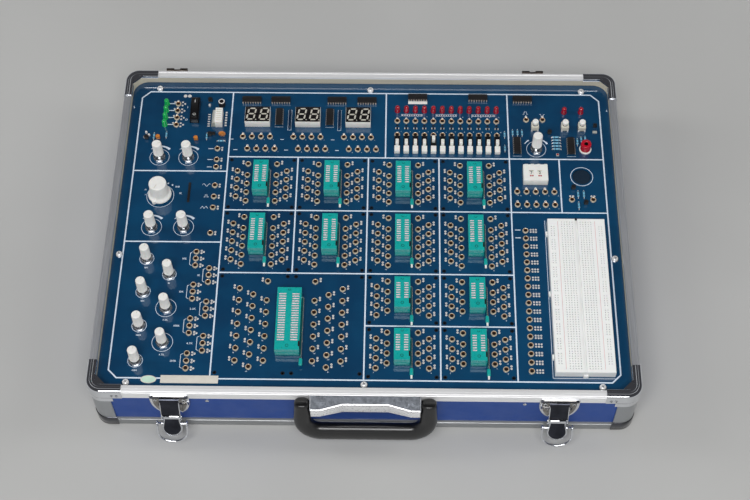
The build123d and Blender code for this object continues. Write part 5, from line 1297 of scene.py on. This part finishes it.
# round can, disc capacitor, transistors
small.add(lathe([(3.4, 0), (3.4, 6.2), (3.2, 6.8), (2.8, 7.0), (2.2, 6.9), (2.0, 6.5), (0, 6.5)], 24,
                ["matt_black", "matt_black", "nickel", "nickel", "dark", "dark"]), (-150.6, 147.0, BOARD))
coil = lathe([(0, -1.3), (2.4, -1.25), (3.3, -0.8), (3.6, 0), (3.3, 0.8), (2.4, 1.25), (0, 1.3)], 24, "ceramic")
small.add(coil, (-147.6, 108.2, BOARD + 4.2), matrix=Matrix.Rotation(radians(90), 4, "X"))
for dx in (-1.6, 1.6):
    small.add(tube([(dx, 0, 0), (dx, 0, 3.0)], 0.3, 8, "nickel"), (-147.6, 108.2, BOARD))
moulded = {0: "chip", 1: "ceramic", 2: "ceramic", 3: "chip", 4: "chip", 5: "chip", 6: "chip", 7: "chip"}
dot = lathe([(1.25, 0), (1.2, 1.6), (0.9, 2.3), (0.4, 2.6), (0, 2.65)], 14, "nickel")
for x, y in ((-224.6, 111.8), (-225.6, 105.6), (-163.2, 146.4), (-221.6, 108.4)):
    small.add(dot, (x, y, BOARD))
for x, y, turn in ((144.1, 114.7, 90), (149.0, 114.8, 90), (153.5, 114.8, 90), (135.9, 112.4, 90), (135.8, 95.6, 90),
                   (212.4, 106.4, 90), (216.4, 107.6, 90), (-163.2, 107.4, 90), (-148.4, 101.6, 0),
                   (-204.0, 109.0, 90)):
    for shape in resistor_shape():
        small.add(shape, (x, y, BOARD), turn=turn, scale=0.92)
small.add(rounded_box((3.4, 2.6, 3.0), (-156.6, 110.4, BOARD), 0.3, mat="chip"))
small.add(rounded_box((2.8, 2.8, 1.6), (187.9, 88.0, BOARD), 0.3, mat="grey"))
small.add(rounded_box((1.6, 1.6, 0.4), (187.9, 88.0, BOARD + 1.5), 0.1, mat="red"))
small.add(rounded_box((3.6, 3.0, 3.6), (227.2, 124.0, BOARD), 0.3, mat="chip"))
small.add(rounded_box((4.4, 2.6, 1.4), (226.6, 116.4, BOARD), 0.2, mat="grey"))
small.add(rounded_box((2.3, 23.0, 0.9), (-175.5, 39.5, BOARD), 0.2, mat="chip"))
for x in (156.5, 162.3, 169.0, 175.3):
    small.add(rounded_box((3.0, 2.4, 0.5), (x, 76.0, BOARD), 0.2, mat="nickel"))
for i, (x, y) in enumerate(((-223.6, 104.2), (-212.0, 104.6), (-173.8, 103.4), (-160.2, 108.8), (181.0, 114.6),
                            (201.3, 47.8), (212.6, 30.2), (-162.8, 152.0))):
    outline = [(2.2 * cos(radians(a)), 2.2 * sin(radians(a))) for a in range(-38, 219, 16)]
    small.add(prism(outline, 0.8, 4.6, moulded[i]), (x, y, BOARD))
    for dx in (-1.3, 0, 1.3):
        small.add(tube([(dx, 0, 0), (dx, 0, 1.0)], 0.25, 6, "nickel"), (x, y, BOARD))
# speaker under the board
small.add(lathe([(0, -11.0), (13.6, -11.0), (14.0, -10.6), (14.0, -2.4), (13.6, -2.0), (8.8, -2.0), (8.6, -0.5),
                 (6.0, -0.35), (0, -0.3)], 36,
                ["steel", "steel", "matt_black", "matt_black", "matt_black", "matt_black", "mesh", "mesh"]),
          (210.4, 62.4, BOARD))
small.make("case", "dark_parts", ["small_parts"])

# ================================================================ lamps
lamps = Piece("lamps_dressed")


def lamp_shape(key):
    lens = [(2.82, 0.0), (2.82, 0.9), (2.42, 1.0), (2.4, 5.6)]
    lens += [(2.4 * cos(radians(a)), 5.8 + 2.4 * sin(radians(a))) for a in (12, 28, 44, 60, 76, 90)]
    return lathe(lens, 20, key)


for y in (121.6, 130.4, 139.2, 148.0):
    lamps.add(lamp_shape("green_lens"), (-206.9, y, BOARD))
for x in LOGIC:
    lamps.add(lamp_shape("red_lens"), (x, 141.4, BOARD))
for x, y in ((196.9, 141.2), (213.8, 141.2)):
    lamps.add(lamp_shape("red_lens"), (x, y, BOARD))
lamps.make("case", "red_lamp", ["lamps"], smooth=50)

# ================================================================ fixed bodies of the controls
bodies = Piece("control_bodies_dressed")
for x in LOGIC:
    y0 = 88.2
    bodies.add(rounded_box((5.4, 7.0, 5.0), (x, y0 + 3.5, BOARD), 0.35, mat="white"))
    for side in (-1, 1):
        bodies.add(rounded_box((0.6, 11.0, 4.9), (x + side * 2.4, y0 + 12.5, BOARD), 0.12, mat="matt_black"))
    bodies.add(rounded_box((5.4, 1.0, 4.9), (x, y0 + 18.5, BOARD), 0.12, mat="matt_black"))
    # near-black floor of the slot: the black body, darkened further as painted shade down in the slot
    bodies.add(rounded_box((4.2, 11.0, 2.4), (x, y0 + 12.5, BOARD), 0, mat="dark"))
for x, y in ((166.6, 121.2), (196.6, 121.2), (213.6, 121.2)):
    bodies.add(rounded_box((7.4, 7.4, 6.2), (x, y, BOARD + 0.4), 0.45, mat="cream"))
    bodies.add(rounded_box((6.0, 6.0, 0.5), (x, y, BOARD), 0, mat="matt_black"))
    bodies.add(lathe([(2.6, 6.58), (2.5, 6.62), (1.96, 6.62)], 20, "matt_black"), (x, y, BOARD))
    for sx in (-1, 1):
        for sy in (-1, 1):
            bodies.add(rounded_box((1.2, 0.8, 2.2), (x + sx * 3.0, y + sy * 3.4, BOARD), 0, mat="nickel"))


def nut_shape():
    washer = lathe([(6.0, 0), (6.0, 0.45), (5.85, 0.6), (3.6, 0.6)], 28, "steel")
    hexagon = [(6.3 * cos(radians(60 * i)), 6.3 * sin(radians(60 * i))) for i in range(6)]
    points, faces, keys = prism(hexagon, 0.6, 2.5, "steel")
    crown = lathe([(5.6, 2.5), (5.3, 2.8), (3.7, 2.8)], 28, "steel")
    thread = [(3.6, 2.7)]
    for i in range(4):
        thread += [(3.4, 2.9 + 0.34 * i), (3.6, 3.07 + 0.34 * i)]
    thread += [(3.3, 4.2), (3.08, 4.2), (3.08, 3.0)]
    return [washer, (points, faces, keys), crown, lathe(thread, 24, "steel")]


nut = nut_shape()
can = lathe([(0, -11.0), (8.0, -11.0), (8.0, -2.0), (3.6, -2.0), (3.6, 0.0)], 28,
            ["zinc", "zinc", "zinc", "steel"])
KNOBS = [("positive_supply_knob", -208.5, 81.6, "plain"), ("negative_supply_knob", -179.7, 81.6, "plain"),
         ("amplitude_knob", -208.5, -1.2, "plain"), ("frequency_knob", -177.5, -1.0, "plain"),
         ("pulse_rate_knob", 167.0, 95.2, "plain"), ("range_selector_knob", -203.4, 35.2, "selector")]
KNOBS += [(f"pot_knob_{i + 1}", x, y, "slim") for i, (x, y, _) in enumerate(POTS)]
for name, x, y, kind in KNOBS:
    for shape in nut:
        bodies.add(shape, (x, y, BOARD), turn=17 if kind == "slim" else 4)
    bodies.add(can, (x, y, BOARD))
# frame of the power switch
RX, RY = -177.0, 138.0
for side in (-1, 1):
    bodies.add(rounded_box((1.0, 27.6, 7.0), (RX + side * 3.95, RY, BOARD), 0.2, mat="black"))
    bodies.add(rounded_box((8.9, 1.2, 7.0), (RX, RY + side * 13.2, BOARD), 0.2, mat="black"))
bodies.add(rounded_box((7.2, 25.4, 1.5), (RX, RY, BOARD), 0, mat="matt_black"))
for side in (-1, 1):
    for k in (-9.0, 0.0, 9.0):
        bodies.add(rounded_box((0.5, 1.6, 5.0), (RX + side * 4.35, RY + k, BOARD + 0.8), 0.15, mat="matt_black"))
# code switch housing with two windows
CX, CY = 164.5, 61.7
WHEELS = {"tens": CX - 4.1, "units": CX + 4.1}
hw, hd = 2.2, 2.5


def housing_top(z, mat):
    """Top of the code switch as quads round its two windows."""
    xs = [CX - 11.6, WHEELS["tens"] - hw, WHEELS["tens"] + hw, WHEELS["units"] - hw, WHEELS["units"] + hw, CX + 11.6]
    ys = [CY - 9.3, CY - hd, CY + hd, CY + 9.3]
    points = [(x, y, z) for y in ys for x in xs]
    faces, keys = [], []
    for j in range(3):
        for i in range(5):
            a = j * 6 + i
            quad = (a, a + 1, a + 7, a + 6)
            if j == 1 and i in (1, 3):
                start = len(points)
                for k in quad:
                    points.append((points[k][0], points[k][1], z - 1.2))
                for p in range(4):
                    q = (p + 1) % 4
                    faces.append((quad[p], quad[q], start + q, start + p))
                    keys.append("cream")
                continue
            faces.append(quad)
            keys.append(mat)
    return np.array(points, float), faces, keys


bodies.add(housing_top(BOARD + 8.0, "white"))
for x in WHEELS.values():
    for dx in (-1.0, 1.0):
        bodies.add(strip([(x + dx - 0.75, CY - 4.1), (x + dx + 0.75, CY - 4.1)], 1.5, BOARD + 8.04, "red"))
for sx in (-1, 1):
    bodies.add(rounded_box((0.8, 19.4, 7.98), (CX + sx * 11.6, CY, BOARD), 0.25, mat="white"))
    bodies.add(rounded_box((23.6, 0.8, 7.98), (CX, CY + sx * 9.3, BOARD), 0.25, mat="white"))
bodies.add(lathe([(0, -9.9), (0.9, -9.9), (0.9, 9.9), (0, 9.9)], 14, "steel"), (CX, CY, BOARD + 1.9),
           matrix=Matrix.Rotation(radians(90), 4, "Y"))
for dx in (-9.2, -3.2, 3.0, 9.0):
    bodies.add(rounded_box((2.4, 1.0, 2.8), (CX + dx, CY + 9.0, BOARD), 0.2, mat="nickel"))
# red terminal post; its bore is lined in near black as painted shade
bodies.add(lathe([(6.1, 0), (6.1, 1.2), (5.8, 1.6), (5.2, 1.7), (5.2, 9.4), (5.0, 10.0), (4.4, 10.4), (2.7, 10.4),
                  (2.3, 10.1), (2.0, 9.7), (2.0, 3.0), (0, 3.0)], 32,
                 ["white", "white", "white"] + ["red"] * 6 + ["dark", "dark"]), (215.8, 95.4, BOARD))
bodies.make("case", "dark_parts", ["control_bodies"])

# ================================================================ moving controls
for i, x in enumerate(LOGIC):
    shift = 4.4 if i == 4 else 0.0
    lever = Piece(f"slide_lever_{i + 1}_dressed")
    y = 95.2 + 0.5 + shift + 2.4
    lever.add(rounded_box((3.2, 4.8, 6.3), (x, y, BOARD + 2.8), 0.4, 3, mat="white"))
    for k in (-1.1, 0.0, 1.1):
        lever.add(rounded_box((2.4, 0.35, 0.3), (x, y + k, BOARD + 9.02), 0.1, mat="cream"))
    lever.make(f"slide_{i + 1}", "white_plastic", [f"slide_lever_{i + 1}"])

for name, x, y in (("pulse", 166.6, 121.2), ("left_step", 196.6, 121.2), ("right_step", 213.6, 121.2)):
    button = Piece(f"{name}_button_dressed")
    button.add(lathe([(0, 2.6), (1.88, 2.6), (1.88, 8.4), (2.7, 8.5), (3.0, 8.8), (3.1, 9.4), (3.1, 11.5),
                      (2.85, 12.1), (2.2, 12.45), (1.2, 12.58), (0, 12.6)], 28, "white"), (x, y, BOARD))
    button.make(f"{name}_key", "white_plastic", [f"{name}_button"], smooth=50)

for name, x, y, kind in KNOBS:
    knob = Piece(f"{name}_dressed")
    spin = {"plain": 20.0, "slim": 75.0, "selector": 0.0}[kind]
    shaft_low = -4.5
    if kind == "selector":
        knob.add(lathe([(3.0, shaft_low), (3.0, 4.0)], 20, "steel"), (x, y, BOARD))
        knob.add(lathe([(7.0, 4.3), (7.1, 2.9), (11.0, 2.9), (11.4, 3.2), (11.4, 4.7), (11.1, 5.2), (9.9, 6.1),
                        (9.1, 7.4), (8.9, 9.0), (8.65, 21.2), (8.4, 22.1), (7.8, 22.55), (6.6, 22.6), (6.3, 22.35),
                        (0, 22.4)], 72, "grey_knob", flutes=24, depth=0.22, fluted=(8, 9)), (x, y, BOARD))
        aim = 245.0
        nib = [(7.4, -2.0), (11.9, -2.0), (13.4, 0), (11.9, 2.0), (7.4, 2.0)]
        knob.add(prism(nib, 2.9, 6.4, "grey_knob"), (x, y, BOARD), turn=aim)
        knob.add(rounded_box((6.0, 0.7, 0.14), (5.0, 0, 0), 0.05, mat="cream"), (x, y, BOARD + 22.42), turn=aim)
    else:
        r = 5.0 if kind == "plain" else 4.75
        low = 7.1 if kind == "plain" else 5.0
        top = low + 16.5
        knob.add(lathe([(3.0, shaft_low), (3.0, low + 1.0)], 20, "steel"), (x, y, BOARD))
        knob.add(lathe([(3.4, low + 0.6), (3.6, low), (r - 0.25, low), (r, low + 0.3), (r, low + 1.7),
                        (r - 0.12, low + 2.0), (r - 0.3, top - 1.2), (r - 0.5, top - 0.5), (r - 1.1, top - 0.08),
                        (r - 1.8, top), (r - 2.0, top - 0.18), (0, top - 0.1)], 72, "grey_knob",
                       flutes=18, depth=0.35, fluted=(5, 6)), (x, y, BOARD))
        knob.add(rounded_box((2.6, 0.5, 0.14), (2.2, 0, 0), 0, mat="cream"), (x, y, BOARD + top - 0.14), turn=spin)
    knob.make(f"{name}_body", "white_plastic", [name], smooth=40)

# power rocker: shallow vee with a raised dot and a bar
rocker = Piece("power_rocker_dressed")
half = 27.0 / 2 - 1.2 - 0.6
profile = [(-half, 1.4), (-half + 0.2, 3.9), (-half + 0.7, 4.5), (-6.0, 3.35), (0, 2.6), (6.0, 3.35),
           (half - 0.7, 4.5), (half - 0.2, 3.9), (half, 1.4), (3.0, -1.8), (-3.0, -1.8)]
points, faces, keys = prism(profile, -3.15, 3.15, "black")
shape = (np.stack([points[:, 2], points[:, 0], points[:, 1]], axis=1), faces, keys)
tilt = Matrix.Rotation(radians(9), 4, "X")
rocker.add(shape, (RX, RY, BOARD + 5.0), matrix=tilt)
for k, y in enumerate((-7.5, 7.5)):
    slope = atan2(1.15, half - 6.7) * (-1 if y < 0 else 1)
    place = tilt @ Matrix.Translation((0, y, 3.7)) @ Matrix.Rotation(slope, 4, "X")
    if k:
        rocker.add(rounded_box((0.5, 3.0, 0.12), (0, 0, 0), 0, mat="white"), (RX, RY, BOARD + 5.0), matrix=place)
    else:
        ring = strip(arc_points(0, 0, 1.3, 0, 360, 20)[:-1], 0.4, 0.03, "white", closed=True)
        rocker.add(ring, (RX, RY, BOARD + 5.0), matrix=place)
rocker.make("power_rocker_body", "black_plastic", ["power_rocker"], bevel=0.25)

# number wheels: ten flats, each with its figure
for digit, x in WHEELS.items():
    wheel = Piece(f"{digit}_wheel_dressed")
    r = 5.6
    outline = [(r * cos(radians(36 * i)), r * sin(radians(36 * i))) for i in range(10)]
    points, faces, keys = prism(outline, -3.0, 3.0, "white")
    spun = np.stack([points[:, 2], points[:, 0], points[:, 1]], axis=1)
    wheel.add((spun, faces, keys), (x, CY, BOARD + 1.9))
    apothem = r * cos(radians(18))
    for i in range(10):
        # face i looks along angle 36 i + 18 in the Y-Z plane; its figure stands upright when the face is on top
        turn = Matrix.Rotation(radians(36 * i + 18 - 90), 4, "X")
        place = turn @ Matrix.Translation((0, 0, apothem + 0.03))
        figure = Piece("spare")
        write(figure, str((i + (5 if digit == "tens" else 0)) % 10), 0, 0, 4.3, mat="dark", matrix=place)
        wheel.add((np.vstack(figure.points), figure.faces, figure.keys), (x, CY, BOARD + 1.9))
    wheel.make(f"{digit}_wheel_body", "black_plastic", [f"{digit}_wheel"])

# ================================================================ breadboard
bread = Piece("breadboard_dressed")
BX, BY, BW, BL, BH = 200.65, -75.05, 54.6, 165.1, 8.5
PITCH = 2.54
hole = 0.56     # half size of a hole's mouth


def breadboard_top():
    """Top face as a grid of cells, each hole a small square funnel."""
    columns = []
    for i in range(5):
        columns += [-1.5 * PITCH - PITCH * i, 1.5 * PITCH + PITCH * i]
    rails = [-BW / 2 + 3.3, -BW / 2 + 3.3 + PITCH, BW / 2 - 3.3, BW / 2 - 3.3 - PITCH]
    columns = sorted(columns + rails)
    row_ys = [(31 - k) * PITCH for k in range(63)]
    points, faces, keys = [], [], []
    groove = 1.25

    def quad(ax, ay, bx, by, key="breadboard"):
        start = len(points)
        points.extend([(ax, ay, BH), (bx, ay, BH), (bx, by, BH), (ax, by, BH)])
        faces.append((start, start + 1, start + 2, start + 3))
        keys.append(key)

    for x in columns:
        rail = x in rails
        for k, y in enumerate(row_ys):
            if rail and (k < 2 or k > 60 or (k - 2) % 6 == 5):
                quad(x - PITCH / 2, y - PITCH / 2, x + PITCH / 2, y + PITCH / 2)
                continue
            start = len(points)
            for size, z in ((PITCH / 2, BH), (hole, BH), (hole * 0.62, BH - 0.55), (hole * 0.5, BH - 1.8)):
                for sx, sy in ((-1, -1), (1, -1), (1, 1), (-1, 1)):
                    points.append((x + sx * size, y + sy * size, z))
            for ring in range(3):
                for a in range(4):
                    b = (a + 1) % 4
                    faces.append((start + 4 * ring + a, start + 4 * ring + b, start + 4 * ring + 4 + b,
                                  start + 4 * ring + 4 + a))
                    keys.append("breadboard" if ring < 2 else "slot")
            faces.append(tuple(range(start + 12, start + 16)))
            keys.append("slot")
    # plain bands between the groups of columns and at the ends
    top, bottom = row_ys[0] + PITCH / 2, row_ys[-1] - PITCH / 2
    half = PITCH / 2
    edges = [(-BW / 2 + 0.3, columns[0] - half), (columns[1] + half, columns[2] - half),
             (columns[6] + half, -groove), (groove, columns[7] - half), (columns[11] + half, columns[12] - half),
             (columns[13] + half, BW / 2 - 0.3)]
    for a, b in edges:
        if b > a + 0.01:
            quad(a, bottom, b, top)
    for a, b in ((-BL / 2 + 0.3, bottom), (top, BL / 2 - 0.3)):
        quad(-BW / 2 + 0.3, a, -groove, b)
        quad(groove, a, BW / 2 - 0.3, b)
    return np.array(points), faces, keys


M["slot"] = finish("breadboard_bore", linear(178, 179, 180), 0.5, vary=0.12, grain=300.0)
M["rail_line"] = finish("rail_line", linear(224, 188, 186), 0.5, vary=0.08, grain=300.0)
for x in (-17.7, 17.7):
    bread.add(strip([(BX + x, BY - BL / 2 + 3.0), (BX + x, BY + BL / 2 - 3.0)], 0.45, BOARD + BH + 0.03, "rail_line"))
bread.add(rounded_box((2.0, 1.2, 3.4), (BX, BY + BL / 2 - 0.1, BOARD + BH - 3.36), 0.2, mat="dark"))
bread.add(breadboard_top(), (BX, BY, BOARD))
sides = Piece("spare")
loops = ((0.3, BH), (0.0, BH - 0.3), (0.0, 0.0))
points, faces = [], []
for inset, z in loops:
    for sx, sy in ((-1, -1), (1, -1), (1, 1), (-1, 1)):
        points.append((sx * (BW / 2 - inset), sy * (BL / 2 - inset), z))
for k in range(2):
    for a in range(4):
        b = (a + 1) % 4
        faces.append((4 * k + 4 + a, 4 * k + 4 + b, 4 * k + b, 4 * k + a))
faces.append((11, 10, 9, 8))
bread.add((np.array(points, float), faces, ["breadboard"] * len(faces)), (BX, BY, BOARD))
points = [(-1.25, -BL / 2 + 0.3, BH), (1.25, -BL / 2 + 0.3, BH), (1.25, BL / 2 - 0.3, BH), (-1.25, BL / 2 - 0.3, BH)]
points += [(x * 0.8, y, BH - 2.1) for x, y, _ in points]
faces = [(0, 1, 5, 4), (1, 2, 6, 5), (2, 3, 7, 6), (3, 0, 4, 7), (4, 5, 6, 7)]
bread.add((np.array(points, float), faces, ["breadboard"] * 5), (BX, BY, BOARD))
for step in (68.5, 2.0, -64.5):
    bread.add(rounded_box((1.9, 4.6, 4.0), (BX - BW / 2 - 0.95, BY + step, BOARD), 0.4, mat="breadboard"))
bread.add(rounded_box((4.6, 1.9, 4.0), (BX + 0.4, BY - BL / 2 - 0.95, BOARD), 0.4, mat="breadboard"))
bread.make("case", "white_plastic", ["breadboard"])

# blank labels on the front margin of the board
blanks = Piece("blank_labels")
blanks.add(rounded_box((52.6, 8.0, 0.15), (-158.4, -164.6, BOARD), 0.05, mat="paper"))
blanks.add(disc(-195.6, -165.0, 7.2, BOARD + 0.1, "paper", 40, 0.56))
blanks.add(disc(-195.6, -165.0, 6.4, BOARD + 0.14, "green_paper", 40, 0.52))
blanks.make("case", "board_blue")

ink.make("case", "board_blue")

# ================================================================ floor, light, camera
n = Nodes("plain_floor")
tone = n.ramp(n.noise(2.2, 3.0), (0.3, linear(180, 180, 178)), (0.7, linear(190, 190, 188)))
n.link(tone, n.shader.inputs["Base Color"])
n.shader.inputs["Roughness"].default_value = 0.42
n.shader.inputs["Specular IOR Level"].default_value = 0.35
mesh = bpy.data.meshes.new("floor")
mesh.from_pydata([(-8, -8, 0), (8, -8, 0), (8, 8, 0), (-8, 8, 0)], [], [(0, 1, 2, 3)])
mesh.materials.append(n.material)
floor = bpy.data.objects.new("floor", mesh)
floor.location.z = -0.0004
bpy.context.scene.collection.objects.link(floor)

world = bpy.data.worlds.new("studio")
bpy.context.scene.world = world
world.use_nodes = True
tree = world.node_tree
background = tree.nodes["Background"]
where = tree.nodes.new("ShaderNodeTexCoord").outputs["Generated"]
split = tree.nodes.new("ShaderNodeSeparateXYZ")
tree.links.new(where, split.inputs[0])
ramp = tree.nodes.new("ShaderNodeValToRGB")
ramp.color_ramp.elements[0].position = 0.0
ramp.color_ramp.elements[0].color = (0.66, 0.67, 0.68, 1)
ramp.color_ramp.elements[1].position = 0.62
ramp.color_ramp.elements[1].color = (0.05, 0.05, 0.055, 1)
tree.links.new(split.outputs["Z"], ramp.inputs["Fac"])
tree.links.new(ramp.outputs["Color"], background.inputs["Color"])
background.inputs["Strength"].default_value = 1.0


def softbox(name, place, target, size, power, mirrored=False):
    data = bpy.data.lights.new(name, "AREA")
    data.shape = "RECTANGLE"
    data.size, data.size_y = size
    data.energy = power
    lamp = bpy.data.objects.new(name, data)
    lamp.location = place
    lamp.visible_glossy = mirrored
    lamp.rotation_mode = "QUATERNION"
    lamp.rotation_quaternion = (Vector(target) - Vector(place)).to_track_quat("-Z", "Y")
    bpy.context.scene.collection.objects.link(lamp)


softbox("key", (-0.1, -1.35, 2.1), (0, 0, 0.05), (1.6, 0.9), 42.0, True)
softbox("left_side", (-1.9, 0.35, 1.35), (0, 0, 0.05), (0.6, 1.3), 12.0)
softbox("right_side", (1.9, 0.1, 1.3), (0, 0, 0.05), (0.6, 1.3), 9.0)
softbox("behind", (0.1, 1.9, 0.9), (0, 0.1, 0.05), (2.2, 0.3), 6.0)

camera = bpy.data.cameras.new("camera")
camera.sensor_width = 36.0
camera.lens = 1451.585 / 750 * 36.0
camera.clip_start = 0.01
view = bpy.data.objects.new("camera", camera)
right = Vector((0.9998435, 0.0158844, -0.00778897))
down = Vector((0.00941302, -0.8504304, -0.52600336))
forward = Vector((-0.01497923, 0.52584772, -0.85044682))
pose = Matrix((right, -down, -forward)).transposed().to_4x4()
pose.translation = Vector((28.81, -754.77, 1180.61 + BOARD)) * MM
view.matrix_world = pose
bpy.context.scene.collection.objects.link(view)
bpy.context.scene.camera = view
bpy.context.scene.view_settings.view_transform = "Standard"
